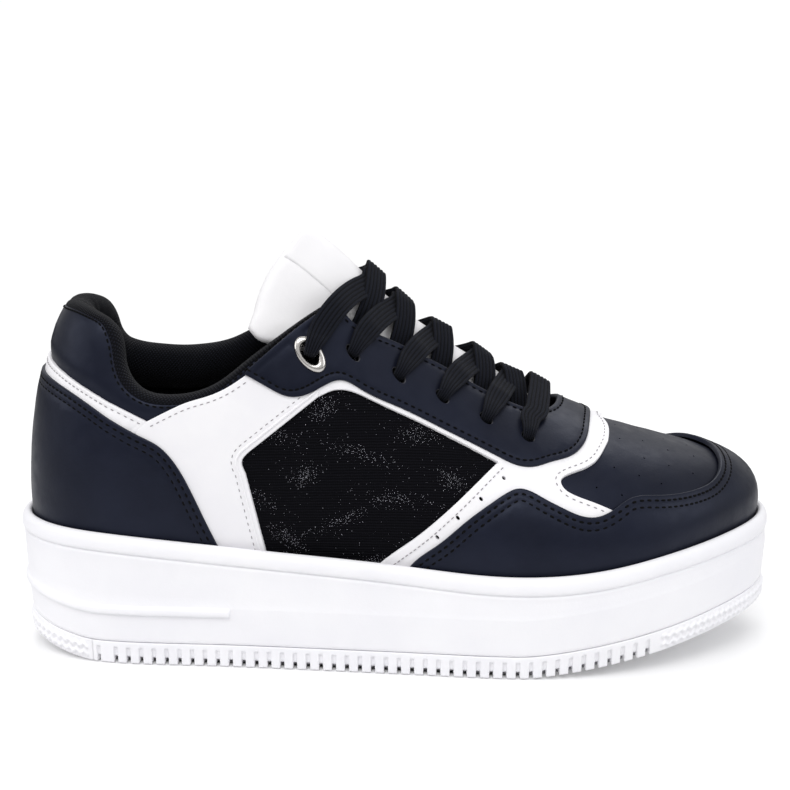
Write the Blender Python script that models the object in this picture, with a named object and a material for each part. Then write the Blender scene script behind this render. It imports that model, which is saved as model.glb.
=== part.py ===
"""Low-top platform court sneaker, right foot.

Lengths are written in millimetres and scaled to metres on output.
Frame: sole bottom at z = 0, toe towards +X, inner (medial) side +Y, up +Z.

The upper is a curved surface seen through two flat charts:
  loop chart  (q, s)  q runs round the shoe, s is the girth height above the sole rim
  crown chart (a, b)  a runs along the instep, b is the girth distance from its crest
Every panel is a flat outline in a chart, laid on the surface at two offsets.
"""
import math

import bmesh
import bpy
import numpy as np
from mathutils import Matrix, Vector
from mathutils.geometry import delaunay_2d_cdt

for old in list(bpy.data.objects):
    bpy.data.objects.remove(old, do_unlink=True)

MM = 0.001

# ---------------------------------------------------------------- materials


def material(name, colour, roughness, metallic=0.0):
    mat = bpy.data.materials.new(name)
    mat.use_nodes = True
    bsdf = mat.node_tree.nodes["Principled BSDF"]
    bsdf.inputs["Base Color"].default_value = (*colour, 1.0)
    bsdf.inputs["Roughness"].default_value = roughness
    bsdf.inputs["Metallic"].default_value = metallic
    return mat


BLACK = (0.016, 0.017, 0.025)
WHITE = (0.86, 0.86, 0.90)

# ---------------------------------------------------------------- curves


def spline(xs, ys, periodic=False):
    """Natural or periodic cubic through the given points."""
    xs = np.asarray(xs, float)
    ys = np.asarray(ys, float)
    n = len(xs)
    h = np.diff(xs)
    lhs = np.zeros((n, n))
    rhs = np.zeros(n)
    for i in range(1, n - 1):
        lhs[i, i - 1:i + 2] = h[i - 1], 2 * (h[i - 1] + h[i]), h[i]
        rhs[i] = 6 * ((ys[i + 1] - ys[i]) / h[i] - (ys[i] - ys[i - 1]) / h[i - 1])
    if periodic:
        lhs[0, 0] = 2 * (h[0] + h[-1])
        lhs[0, 1] = h[0]
        lhs[0, n - 2] = h[-1]
        rhs[0] = 6 * ((ys[1] - ys[0]) / h[0] - (ys[-1] - ys[-2]) / h[-1])
        lhs[-1, 0] = 1
        lhs[-1, -1] = -1
    else:
        lhs[0, 0] = 1
        lhs[-1, -1] = 1
    m = np.linalg.solve(lhs, rhs)

    def curve(x):
        x = np.asarray(x, float)
        if periodic:
            x = (x - xs[0]) % (xs[-1] - xs[0]) + xs[0]
        x = np.clip(x, xs[0], xs[-1])
        i = np.clip(np.searchsorted(xs, x) - 1, 0, n - 2)
        t0 = xs[i + 1] - x
        t1 = x - xs[i]
        hi = h[i]
        cubic = (m[i] * t0 ** 3 + m[i + 1] * t1 ** 3) / (6 * hi)
        return cubic + (ys[i] / hi - m[i] * hi / 6) * t0 + (ys[i + 1] / hi - m[i + 1] * hi / 6) * t1

    return curve


def smooth(points, step, closed=False):
    """Resample a smooth curve through control points at about the given step."""
    pts = np.asarray(list(points) + ([points[0]] if closed else []), float)
    t = np.concatenate([[0], np.cumsum(np.hypot(*np.diff(pts, axis=0).T))])
    fx = spline(t, pts[:, 0], closed)
    fy = spline(t, pts[:, 1], closed)
    count = max(2, int(round(t[-1] / step)) + 1)
    grid = np.linspace(0, t[-1], count)
    if closed:
        grid = grid[:-1]
    return [(float(fx(g)), float(fy(g))) for g in grid]


def straight(p, q, step):
    """Evenly spaced points on a straight line, both ends included."""
    count = max(1, int(round(math.dist(p, q) / step)))
    return [(p[0] + (q[0] - p[0]) * i / count, p[1] + (q[1] - p[1]) * i / count)
            for i in range(count + 1)]


def chain(*runs):
    """Join runs of points into one closed outline, dropping repeats."""
    out = []
    for run in runs:
        for p in run:
            if not out or math.dist(out[-1], p) > 0.3:
                out.append(tuple(p))
    if math.dist(out[0], out[-1]) <= 0.3:
        out.pop()
    return out


# ---------------------------------------------------------------- last shape

HEEL_X = -102.0
TOE_X = 91.0
TOE_Y = 7.0
Q1 = 56.0
Q2 = Q1 + TOE_X - HEEL_X
Q3 = Q2 + 75.0

spine_y = spline([HEEL_X, -60, 0, 50, TOE_X], [0, 0, 2, 5.5, TOE_Y])

# plan outline of the sole at its widest, anticlockwise from the heel
OUTLINE = [(-140, 0), (-135.5, -16), (-123, -28.5), (-103, -35.5), (-70, -38.5),
           (-30, -42.5), (10, -47.5), (45, -51.5), (75, -49), (102, -38.5),
           (123, -22.5), (136.5, -5), (140, 10), (135.5, 26), (120, 40.5),
           (94, 50), (65, 52), (35, 47), (0, 39.5), (-40, 35.5), (-73, 36),
           (-103, 35), (-123, 28), (-135.5, 16)]

# height of the sole rim, where the upper meets it
rim_z = spline([-140, -103, -60, 0, 30, 76, 98, 116, 140],
               [50.5, 48.3, 44.5, 40, 37.5, 39.5, 43, 45.5, 48.5])
# crest of the instep, closed over the opening
crest_z = spline([HEEL_X, -80, -55, -35, -20, -8, 5, 20, 35, 48, 61, 75, TOE_X],
                 [150, 160, 163, 156, 145.5, 134.5, 123.3, 112.5, 103, 95.2, 87.6, 81.6, 77.0])
crest_fall = spline([HEEL_X, -60, -30, 0, 30, 48, 64, TOE_X],
                    [0, 0.25, 0.60, 0.75, 0.72, 0.50, 0.10, 0.0])
TOE_SLOPE = -0.30

WALL = 3.7          # thickness of the sole rim
STACK = 3.3         # room for the outer layers of the upper inside the rim

STATION = [0, 28, 56, 101, 161, 196, 226, Q2, Q2 + 40, Q3]
belly = spline(STATION, [2.6, 3.6, 5.4, 5.6, 5.6, 5.6, 5.6, 5.2, 4.4, 3.4])
rise = spline(STATION, [.40, .42, .40, .42, .45, .48, .55, .55, .60, .62])
reach = spline(STATION, [.46, .65, .78, .78, .60, .54, .56, .60, .66, .68])


def sole_bottom(x):
    """Height of the walking edge: flat, with toe spring and a heel bevel."""
    toe = np.maximum(np.asarray(x, float) - 42, 0)
    heel = np.maximum(-108 - np.asarray(x, float), 0)
    return 0.17 * toe ** 2 / (toe + 14) + 0.25 * heel ** 2 / (heel + 12)


def loop_frame(q):
    """Spine point and outward plan direction at loop coordinate q."""
    q = np.asarray(q, float)
    side = np.where(q < 0, -1.0, 1.0)
    a = np.abs(q)
    x = np.clip(HEEL_X + a - Q1, HEEL_X, TOE_X)
    th = np.minimum(a / Q1, 1) * math.pi / 2
    ph = np.clip((a - Q2) / (Q3 - Q2), 0, 1) * math.pi / 2
    dx = np.where(a < Q1, -np.cos(th), np.sin(ph))
    dy = side * np.where(a < Q1, np.sin(th), np.cos(ph))
    return x, spine_y(x), dx, dy


def outline_table():
    pts = np.array(smooth(OUTLINE, 0.3, closed=True))
    x, y = pts.T
    side = np.where(y < spine_y(np.clip(x, HEEL_X, TOE_X)), -1, 1)
    q = side * (Q1 + x - HEEL_X)
    r = np.abs(y - spine_y(x))
    heel = x < HEEL_X
    q = np.where(heel, np.arctan2(y, HEEL_X - x) / (math.pi / 2) * Q1, q)
    r = np.where(heel, np.hypot(x - HEEL_X, y), r)
    toe = x > TOE_X
    ph = np.arctan2(x - TOE_X, np.abs(y - TOE_Y)) / (math.pi / 2)
    q = np.where(toe, np.where(y < TOE_Y, -1, 1) * (Q2 + ph * (Q3 - Q2)), q)
    r = np.where(toe, np.hypot(x - TOE_X, y - TOE_Y), r)
    order = np.argsort(q)
    q = q[order]
    r = r[order]
    return (np.concatenate([q[-9:] - 2 * Q3, q, q[:9] + 2 * Q3]),
            np.concatenate([r[-9:], r, r[:9]]))


TABLE_Q, TABLE_R = outline_table()


def sole_radius(q):
    return np.interp(q, TABLE_Q, TABLE_R)


def section(q):
    """Section curves of the upper: (r, z) samples and girth above the rim."""
    q = np.atleast_1d(np.asarray(q, float))
    a = np.abs(q)
    x, y, dx, dy = loop_frame(q)
    rf = sole_radius(q) - WALL - STACK
    z0 = rim_z(x + dx * rf)
    z1 = crest_z(x)
    h = z1 - z0
    fall = np.where(a > Q2, -TOE_SLOPE * dx, crest_fall(x))
    knots = [(rf, z0), (rf + belly(a), z0 + h * rise(a)),
             (rf * reach(a), z1 - fall * rf * reach(a)), (0 * rf, z1)]
    t = np.linspace(0, 1, 90)[None, :]
    weights = [(1 - t) ** 3, 3 * (1 - t) ** 2 * t, 3 * (1 - t) * t * t, t ** 3]
    r = sum(w * k[0][:, None] for w, k in zip(weights, knots))
    z = sum(w * k[1][:, None] for w, k in zip(weights, knots))
    seg = np.hypot(np.diff(r, axis=1), np.diff(z, axis=1))
    s = np.concatenate([np.zeros((len(q), 1)), np.cumsum(seg, 1)], 1)
    return (x, y, dx, dy), r, z, s


def loop_point(q, s):
    """Surface point in the loop chart; below the rim the wall drops straight."""
    q = np.atleast_1d(np.asarray(q, float))
    q = (q + Q3) % (2 * Q3) - Q3
    s = np.broadcast_to(np.asarray(s, float), q.shape)
    (x, y, dx, dy), r, z, arc = section(q)
    row = np.arange(len(q))
    i = np.clip((arc < s[:, None]).sum(1) - 1, 0, arc.shape[1] - 2)
    f = (s - arc[row, i]) / (arc[row, i + 1] - arc[row, i])
    rr = r[row, i] * (1 - f) + r[row, i + 1] * f
    zz = z[row, i] * (1 - f) + z[row, i + 1] * f
    rr = np.where(s < 0, r[:, 0], rr)
    zz = np.where(s < 0, z[:, 0] + s, zz)
    return np.column_stack([x + dx * rr, y + dy * rr, zz])


def girth(q):
    return section(q)[3][:, -1]


def crown_to_loop(a, b):
    a = np.atleast_1d(np.asarray(a, float))
    b = np.broadcast_to(np.asarray(b, float), a.shape)
    side = np.where(b < 0, -1.0, 1.0)
    over = a > TOE_X
    dist = np.where(over, np.hypot(a - TOE_X, b), np.abs(b))
    turn = np.arctan2(a - TOE_X, np.abs(b)) / (math.pi / 2)
    q = side * np.where(over, Q2 + turn * (Q3 - Q2), Q1 + a - HEEL_X)
    return q, girth(q) - dist


def crown_point(a, b):
    return loop_point(*crown_to_loop(a, b))


def toe_point(w, s):
    """Loop chart unrolled about the toe tip."""
    w = np.atleast_1d(np.asarray(w, float))
    return loop_point(np.where(w < 0, -1, 1) * (Q3 - np.abs(w)), s)


def place(chart, u, v, d, flip=1.0, eps=0.6):
    """Chart coordinates and offsets to space."""
    u = np.asarray(u, float)
    v = np.asarray(v, float)
    p = chart(u, v)
    du = chart(u + eps, v) - chart(u - eps, v)
    dv = chart(u, v + eps) - chart(u, v - eps)
    n = np.cross(du, dv) * flip
    n /= np.linalg.norm(n, axis=1)[:, None]
    return p + n * np.broadcast_to(np.asarray(d, float), u.shape)[:, None], n


LOOP = (loop_point, -1.0)
TOE = (toe_point, 1.0)
CROWN = (crown_point, 1.0)


def loop_q(x, sign=-1):
    return sign * (Q1 + x - HEEL_X)


def to_side(q, s, sign):
    """Outer-side loop point, carried to the inner side in proportion to the girth."""
    if sign > 0 and s > 0:
        s *= float(girth(abs(q))[0] / girth(-abs(q))[0])
    return sign * abs(q), s


def to_crown(q, s):
    return HEEL_X - Q1 + abs(q), math.copysign(float(girth(q)[0]) - s, q)


def side(x, s, sign=-1):
    """Side point (x along the shoe, girth height s) in the crown chart."""
    return to_crown(*to_side(loop_q(x), s, sign))


def side_run(points, step, sign=-1):
    return [side(x, s, sign) for x, s in smooth(points, step)]


# ---------------------------------------------------------------- mesh tools


def add_mesh(name, verts, faces, mat):
    bm = bmesh.new()
    made = [bm.verts.new(Vector(v) * MM) for v in verts]
    for face in faces:
        ids = list(dict.fromkeys(face))
        if len(ids) > 2:
            try:
                bm.faces.new([made[i] for i in ids])
            except ValueError:
                pass
    bmesh.ops.remove_doubles(bm, verts=bm.verts, dist=0.02 * MM)
    bmesh.ops.triangulate(bm, faces=bm.faces)
    bmesh.ops.recalc_face_normals(bm, faces=bm.faces)
    mesh = bpy.data.meshes.new(name)
    bm.to_mesh(mesh)
    bm.free()
    mesh.materials.append(mat)
    obj = bpy.data.objects.new(name, mesh)
    bpy.context.scene.collection.objects.link(obj)
    return obj


def inside(points, loops):
    """Even-odd test of many points against several closed loops."""
    x, y = points.T
    odd = np.zeros(len(points), bool)
    for loop in loops:
        ring = np.asarray(loop, float)
        nxt = np.roll(ring, -1, axis=0)
        for (x0, y0), (x1, y1) in zip(ring, nxt):
            if y0 == y1:
                continue
            hit = (y0 > y) != (y1 > y)
            odd ^= hit & (x < (x1 - x0) * (y - y0) / (y1 - y0) + x0)
    return odd


def edge_distance(points, loops):
    best = np.full(len(points), 1e9)
    for loop in loops:
        ring = np.asarray(loop, float)
        nxt = np.roll(ring, -1, axis=0)
        for p, q in zip(ring, nxt):
            e = q - p
            t = np.clip(((points - p) @ e) / max(e @ e, 1e-12), 0, 1)
            best = np.minimum(best, np.linalg.norm(points - p - t[:, None] * e, axis=1))
    return best


def triangulate(outline, holes, step):
    loops = [outline] + holes
    ring = np.asarray(outline, float)
    lo = ring.min(0)
    hi = ring.max(0)
    rows = np.arange(lo[1] + step / 2, hi[1], step * 0.87)
    grid = []
    for k, v in enumerate(rows):
        for u in np.arange(lo[0] + (k % 2) * step / 2, hi[0], step):
            grid.append((u, v))
    grid = np.array(grid) if grid else np.zeros((0, 2))
    keep = inside(grid, loops) & (edge_distance(grid, loops) > 0.42 * step)
    pts = [Vector(p) for loop in loops for p in loop] + [Vector(p) for p in grid[keep]]
    edges = []
    base = 0
    for loop in loops:
        n = len(loop)
        edges += [(base + i, base + (i + 1) % n) for i in range(n)]
        base += n
    verts, _, faces, *_ = delaunay_2d_cdt(pts, edges, [], 0, 1e-5)
    uv = np.array([tuple(v) for v in verts])
    tris = [f for f in faces if len(f) == 3]
    mid = np.array([uv[list(f)].mean(0) for f in tris])
    ok = inside(mid, loops)
    return uv, [f for f, k in zip(tris, ok) if k]


def sheet(name, chart, outline, low, high, mat, step=8.0, holes=()):
    """A panel: outline in a chart, thickened between two offsets."""
    uv, tris = triangulate(outline, [list(h) for h in holes], step)
    fn, flip = chart
    used = sorted({i for t in tris for i in t})
    index = {v: k for k, v in enumerate(used)}
    uv = uv[used]
    tris = [tuple(index[i] for i in t) for t in tris]
    dist = edge_distance(uv, [outline])
    d0 = low(uv, dist) if callable(low) else low
    d1 = high(uv, dist) if callable(high) else high
    p0, _ = place(fn, uv[:, 0], uv[:, 1], d0, flip)
    p1, _ = place(fn, uv[:, 0], uv[:, 1], d1, flip)
    n = len(uv)
    faces = [tuple(i + n for i in t) for t in tris]
    faces += [tuple(reversed(t)) for t in tris]
    count = {}
    for t in tris:
        for i, j in ((t[0], t[1]), (t[1], t[2]), (t[2], t[0])):
            count[(i, j)] = count.get((i, j), 0) + 1
    for i, j in count:
        if (j, i) not in count:
            faces.append((i, j, j + n, i + n))
    return add_mesh(name, np.vstack([p0, p1]), faces, mat)


def circle(centre, radius, count, start=0.0):
    return [(centre[0] + radius * math.cos(start + 2 * math.pi * i / count),
             centre[1] + radius * math.sin(start + 2 * math.pi * i / count))
            for i in range(count)]


def stations(heel=7, mid=13, toe=8):
    half = list(np.linspace(0, Q1, heel + 1)) + list(np.linspace(Q1, Q2, mid + 1))[1:]
    half += list(np.linspace(Q2, Q3, toe + 1))[1:]
    return [-h for h in reversed(half)][:-1] + half[:-1]


def lathe(name, qs, profile, mat):
    """Closed body from radial profiles round the loop; r = 0 meets the spine."""
    rings = []
    for q in qs:
        x, y, dx, dy = (float(v) for v in loop_frame(q))
        rings.append([(x + dx * r, y + dy * r, z) for r, z in profile(q)])
    n = len(rings[0])
    verts = [p for ring in rings for p in ring]
    faces = []
    for k in range(len(rings)):
        m = (k + 1) % len(rings)
        for j in range(n - 1):
            quad = (k * n + j, m * n + j, m * n + j + 1, k * n + j + 1)
            faces.append(quad[:3])
            faces.append((quad[0], quad[2], quad[3]))
    return add_mesh(name, verts, faces, mat)


def rim_height(q):
    x, _, dx, _ = loop_frame(q)
    return float(rim_z(x + dx * (sole_radius(q) - WALL - STACK)))


def foot_height(q):
    x, _, dx, _ = loop_frame(q)
    return float(sole_bottom(x + dx * (sole_radius(q) - 3)))


tuck = spline([0, 56, 200, Q2, Q2 + 40, Q3], [3.4, 3.2, 3.0, 3.6, 2.8, 1.8])


def wall_radius(q, z):
    """Outer sole wall: leans out slightly towards the rim."""
    foot = foot_height(q)
    t = min(max((z - foot) / (rim_height(q) - 4 - foot), 0), 1)
    return float(sole_radius(q)) - float(tuck(abs(q))) * (1 - t) ** 1.2


# ---------------------------------------------------------------- sole

rubber = material("outsole_rubber", WHITE, 0.55)
shell = material("sole_wall", WHITE, 0.5)
foam = material("midsole_foam", (0.80, 0.80, 0.82), 0.8)

TREAD = 8.3
NOTCH_PITCH = 4.65
NOTCH_HALF = 0.55
NOTCH_DEEP = 1.2
NOTCH_TALL = 6.0
NOTCHES = 43
FIRST_NOTCH = -106.5

notch_x = [FIRST_NOTCH + NOTCH_PITCH * i for i in range(NOTCHES)]
notch_q = []
for nx in notch_x:
    if nx >= HEEL_X:
        notch_q.append(Q1 + nx - HEEL_X)
    else:
        notch_q.append(Q1 - (HEEL_X - nx) * 1.55)
cuts = set()
for nq in notch_q:
    cuts |= {round(nq - NOTCH_HALF, 4), round(nq, 4), round(nq + NOTCH_HALF, 4)}


def in_notch(q):
    return any(abs(abs(q) - nq) < NOTCH_HALF / 2 for nq in notch_q)


def plan_x(q, r):
    x, _, dx, _ = loop_frame(q)
    return float(x + dx * r)


def tread_profile(q):
    foot = foot_height(q)
    top = foot + TREAD - 0.3
    cut = NOTCH_DEEP if in_notch(q) else 0.0
    r0 = wall_radius(q, foot)
    inner = r0 - 7
    under = float(sole_bottom(plan_x(q, inner)))
    spine = float(sole_bottom(plan_x(q, 0)))
    return [(0, spine + TREAD - 0.3), (wall_radius(q, top), top),
            (wall_radius(q, foot + NOTCH_TALL), foot + NOTCH_TALL),
            (r0 - cut, foot), (inner, under), (0, spine)]


half_q = sorted(cuts | {0.0, 12.0, 24.0, 36.0, 44.0, Q2 + 12, Q2 + 26, Q2 + 40, Q2 + 53, Q2 + 64, Q3})
tread_q = [-h for h in reversed(half_q)][:-1] + half_q[:-1]
lathe("outsole", tread_q, tread_profile, rubber)

FLOOR = 3.0
BEAD_END = 98.0     # loop coordinate where the raised heel rib stops
BOARD_DROP = 8.0
BOARD = 1.5


def cup_profile(q):
    foot = foot_height(q)
    rim = rim_height(q)
    low = foot + TREAD
    spine = float(sole_bottom(plan_x(q, 0))) + TREAD
    rs = float(sole_radius(q))
    r_low = wall_radius(q, low)
    r_mid = wall_radius(q, low + 12)
    bead = 0.9 if abs(q) < BEAD_END else 0.0
    return [(0, spine + FLOOR), (r_low - WALL - 1, low + FLOOR), (rs - WALL, rim - 11),
            (rs - WALL, rim - 0.4), (rs - WALL + 0.8, rim + 0.5), (rs - 1.6, rim + 0.2),
            (rs - 0.3, rim - 1.6), (rs, rim - 5.2), (rs - 0.8, rim - 6.0),
            (rs - 0.5, rim - 7.0), (r_mid + bead, low + 13.2), (r_mid + bead, low + 10.4),
            (r_low, low), (0, spine)]


def foam_profile(q):
    low = foot_height(q) + TREAD + FLOOR + 0.3
    spine = float(sole_bottom(plan_x(q, 0))) + TREAD + FLOOR + 0.3
    rim = rim_height(q)
    top = rim - BOARD_DROP - BOARD - 0.3
    rs = float(sole_radius(q))
    x = plan_x(q, 0)
    mid_top = float(rim_z(x)) - BOARD_DROP - BOARD - 0.3
    r_low = wall_radius(q, low - FLOOR - 0.3) - WALL - 1.6
    return [(0, mid_top), (rs - WALL - 6, top), (rs - WALL - 0.4, top), (rs - WALL - 0.4, rim - 11.5),
            (r_low, low + 0.4), (0, spine)]


def bed_profile(low, high, inset):
    def profile(q):
        rim = rim_height(q) - BOARD_DROP
        centre = float(rim_z(plan_x(q, 0))) - BOARD_DROP
        r = float(sole_radius(q)) - WALL - STACK - inset
        return [(0, centre + high), (r * 0.6, centre * 0.4 + rim * 0.6 + high), (r, rim + high),
                (r, rim + low), (r * 0.6, centre * 0.4 + rim * 0.6 + low), (0, centre + low)]
    return profile


loft_q = stations()
lathe("cupsole", loft_q, cup_profile, shell)
lathe("midsole_foam", loft_q, foam_profile, foam)
lathe("insole_board", loft_q, bed_profile(-BOARD, -0.1, 3.7),
      material("insole_board", (0.55, 0.50, 0.42), 0.9))
lathe("sockliner_foam", loft_q, bed_profile(0.3, 3.6, 4.2),
      material("sockliner_foam", (0.10, 0.10, 0.11), 0.9))
lathe("sockliner_cover", loft_q, bed_profile(3.9, 4.6, 4.2),
      material("sockliner_cover", (0.03, 0.03, 0.035), 0.95))

# ---------------------------------------------------------------- upper layers

LINING = (-3.2, -2.4)
STIFF = (-1.95, -1.74)
BASE = (-1.2, 0.0)
MIDDLE = (0.3, 1.3)
TOP = (1.6, 2.6)
MARGIN = -6.0       # how far the panels tuck down inside the rim

black_pu = material("black_leather", BLACK, 0.42)
white_pu = material("white_leather", WHITE, 0.45)

# eyelets: position along the shoe and girth height, ring first
EYELETS = [(-31.0, 71.0), (-16.5, 72.8), (-0.5, 67.0), (15.0, 62.2), (30.8, 57.0), (46.0, 51.4)]
HOLE_R = 2.6
RING_HOLE_R = 4.2


def eyelet_holes(sign, sides=6, grow=0.0):
    out = []
    for k, (x, s) in enumerate(EYELETS):
        radius = (RING_HOLE_R if k == 0 else HOLE_R) + grow
        out.append(circle(side(x, s, sign), radius, sides))
    return out


def loop_holes(sign, sides=6, grow=0.0):
    out = []
    for k, (x, s) in enumerate(EYELETS):
        radius = (RING_HOLE_R if k == 0 else HOLE_R) + grow
        out.append(circle(to_side(loop_q(x), s, sign), radius, sides))
    return out


# topline of the collar, where the padded roll peaks, on the outer side
TOPLINE = [(-131, 88.7), (-124, 82.8), (-116, 75.8), (-103, 64.2), (-94, 56.4), (-85, 52.0),
           (-76, 50.3), (-68.5, 51.0), (-62.5, 55.0), (-59.5, 61.5), (-58.5, 68.5), (-55.5, 74.5),
           (-47, 77.6), (-34, 79.2), (-17, 79.6), (0, 79.2)]
# lower edge of the collar pad, paired point by point with the topline
PADLINE = [(-124, 77), (-117, 70.5), (-110, 62), (-101, 51.5), (-93, 44.5), (-84, 40.5),
           (-74, 38.5), (-63, 39.5), (-54, 43.5), (-48, 49.5), (-43.5, 56), (-39, 61),
           (-32, 63.8), (-23, 64.8), (-12, 64.8), (0, 64.3)]
# the inner side stands higher under the ankle; same chart, carried across by to_side
TOPLINE_IN = [(-131, 88.7), (-124, 83.8), (-116, 77.8), (-103, 69.0), (-94, 63.5), (-85, 60.6),
              (-76, 59.0), (-68, 58.8), (-60.5, 59.4), (-54.5, 61.5), (-50, 66), (-47.5, 71),
              (-43, 75.8), (-34, 78.6), (-17, 79.6), (0, 79.2)]
PADLINE_IN = [(-124, 77), (-117, 71.5), (-110, 64), (-101, 54.5), (-93, 48.5), (-84, 45.5),
              (-75.5, 43.5), (-67, 43.2), (-58, 43.8), (-48, 46.5), (-40, 51.5), (-35, 58),
              (-31, 63), (-25, 65.5), (-14, 65.5), (0, 64.3)]
COLLAR_INSET = 3.4  # leather edge of the collar, below the topline


def collar_lines(sign):
    """Topline and padline of one side as loop points, front to heel centre."""
    if sign < 0:
        return np.array(TOPLINE, float), np.array(PADLINE, float)
    return tuple(np.array([to_side(q, s, 1) for q, s in line], float)
                 for line in (TOPLINE_IN, PADLINE_IN))


def collar_loop():
    """Topline and padline right round, outer side first."""
    return tuple(np.vstack([one, two[::-1][1:]])
                 for one, two in zip(collar_lines(-1), collar_lines(1)))


def topline_run(inset, step=7.0, sign=-1):
    """Topline moved down into the panels by inset, front to heel centre."""
    pts, low = collar_lines(sign)
    d = low - pts
    d /= np.linalg.norm(d, axis=1)[:, None]
    return smooth([tuple(p) for p in pts + d * inset], step)


# --- heel overlay, stripe and collar panel
HEEL_EDGE = [(0, 53.8), (-15, 53.0), (-39, 48.8), (-56, 42.2), (-67, 37.2), (-74, 34.2),
             (-79, 29.5), (-84, 21.3), (-90, 8.5), (-97, MARGIN)]


def both_loop(run):
    """A run from the heel centre to the outer side, closed over to the inner side."""
    return [(-q, s) for q, s in reversed(run)][:-1] + list(run)


edge = smooth(HEEL_EDGE, 7.0)
outline = chain(both_loop(edge), straight((-97, MARGIN), (97, MARGIN), 7.5))
sheet("heel_overlay", LOOP, outline, *TOP, black_pu, 8.5)

STRIPE_TOP = [(0, 59.3), (-15, 58.1), (-26, 56.3), (-40, 52.7), (-54, 48.3), (-69.8, 42.3)]
stripe_end = [(-69.8, 42.3), (-65.8, 37.4), (-60.5, 33.6)]
STRIPE_LOW = [(-60.5, 33.6), (-54, 36.8), (-39, 43.2), (-15, 47.2), (0, 48.0)]
upper_run = smooth(STRIPE_TOP, 7.0)
lower_run = smooth(STRIPE_LOW, 7.0)
outline = chain(both_loop(upper_run), stripe_end, lower_run,
                [(-q, s) for q, s in reversed(lower_run)],
                [(-q, s) for q, s in reversed(stripe_end)])
sheet("heel_stripe", LOOP, outline, *MIDDLE, white_pu, 7.0)

collar_top = [p for p in topline_run(COLLAR_INSET) if p[0] > -110]
collar_low = smooth([(-112, 61.5), (-104, 56), (-97, 51.5), (-88, 47), (-78, 40), (-66, 36.5),
                     (-54, 38.5), (-39, 44), (-15, 48.5), (0, 49.5)], 7.5)
top_medial = [p for p in topline_run(COLLAR_INSET, sign=1) if p[0] < 110]
low_medial = [(-q, s) for q, s in collar_low]
outline = chain(collar_top, list(reversed(top_medial)), low_medial, list(reversed(collar_low)))
sheet("collar_panel", LOOP, outline, *BASE, black_pu, 9.0)

# --- quarters with their textile windows
quarter_lift = spline([-140, -120, -95, -75, -60, -45, 0], [0, 1.5, 3.8, 4.9, 3, 0.8, 0])
QUARTER_BACK = [(-71.6, 41.6), (-67.4, 36.2), (-70.0, 29.0), (-76.5, 19.0), (-83, 4.5), (-88, MARGIN)]
QUARTER_TOP = [(-71.5, 41.6), (-77, 46.5), (-84, 50.5), (-91, 53.3), (-98, 57.0), (-105, 62.2)]
WINDOW_LEFT = [(-106.0, 35.4), (-103.2, 31.4), (-104.5, 27.5)]


def quarter(sign):
    name = "lateral" if sign < 0 else "medial"
    lift = (lambda q: 0.0) if sign < 0 else (lambda q: float(quarter_lift(-abs(q))))
    top = smooth(QUARTER_TOP, 6.0)
    under_stay = smooth([(-105, 62.2), (-117, 62), (-125, 65), (-129.2, 67.0)], 6.0)
    seam = straight((-129.2, 67.0), (-129.2, 56.8), 5)
    window = chain(straight((-129.2, 56.8), (-106.0, 35.4), 7), smooth(WINDOW_LEFT, 2.5),
                   straight((-104.5, 27.5), (-112.5, MARGIN), 7))
    bottom = straight((-112.5, MARGIN), (-88, MARGIN), 7)
    back = list(reversed(smooth(QUARTER_BACK[1:], 6.5)))
    ring = chain(top, under_stay, seam, window, bottom, back)
    ring = [to_side(q, s + (lift(q) if s > 40 and q > -112 else 0.0), sign) for q, s in ring]
    sheet("white_quarter_" + name, LOOP, ring, *MIDDLE, white_pu, 7.5)

    glitter = material("glitter_textile_" + name, (0.02, 0.02, 0.022), 0.6)
    ring = chain(smooth([(-107, -5.5), (-99.5, 24), (-99, 31), (-102.5, 37), (-128, 60.5)], 7.5),
                 smooth([(-128, 60.5), (-136, 64.6), (-145, 64.8), (-159, 60.3)], 7),
                 straight((-159, 60.3), (-197, 44.5), 7.5),
                 straight((-197, 44.5), (-150.5, -5.5), 7.5),
                 straight((-150.5, -5.5), (-107, -5.5), 7.5))
    ring = [to_side(q, s, sign) for q, s in ring]
    sheet("glitter_panel_" + name, LOOP, ring, *BASE, glitter, 9.5)


quarter(-1)
quarter(1)

# --- white saddle: front cross piece with a diagonal strip down each side
SADDLE_FRONT = [(75, 20.2), (68, 24.3), (61, 28.0), (57.8, 31.0), (57.3, 33.6), (60, 35.8),
                (66, 37.8), (70.3, 40.5), (73.2, 44.8), (75.8, 50.5)]


def saddle_half(sign):
    front = side_run(SADDLE_FRONT, 5.0, sign)
    foot = side_run([(75, 20.2), (74, 14.5), (66, 12.5), (58, 15.5), (49, 21.5), (42, 23.5),
                     (36, 19.5), (26, 9.0), (15, MARGIN)], 6.5, sign)
    bottom = [side(x, MARGIN, sign) for x in (15, 8, 0, -10.8)]
    window = side_run([(-10.8, MARGIN), (-4.4, 0.9), (5.5, 9.7), (15.2, 19.0), (25.1, 29.2),
                       (35.1, 40.3)], 7.0, sign)
    strip = side_run([(35.1, 40.3), (28.7, 43.2), (21.6, 46.2), (14.6, 48.8), (7.5, 51.3), (0.4, 53.6),
                      (-10.0, 57.3), (-17, 59.5), (-22, 59.4), (-27.1, 56.6)], 7.0, sign)
    inner = side_run([(-27.1, 56.6), (-27.4, 67.0), (-17, 66.2), (-1, 61.2), (15, 56.8), (31, 51.5),
                      (40, 46.5), (46, 46), (54, 50), (60, 58)], 7.0, sign)
    return front, foot, bottom, window, strip, inner


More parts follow.
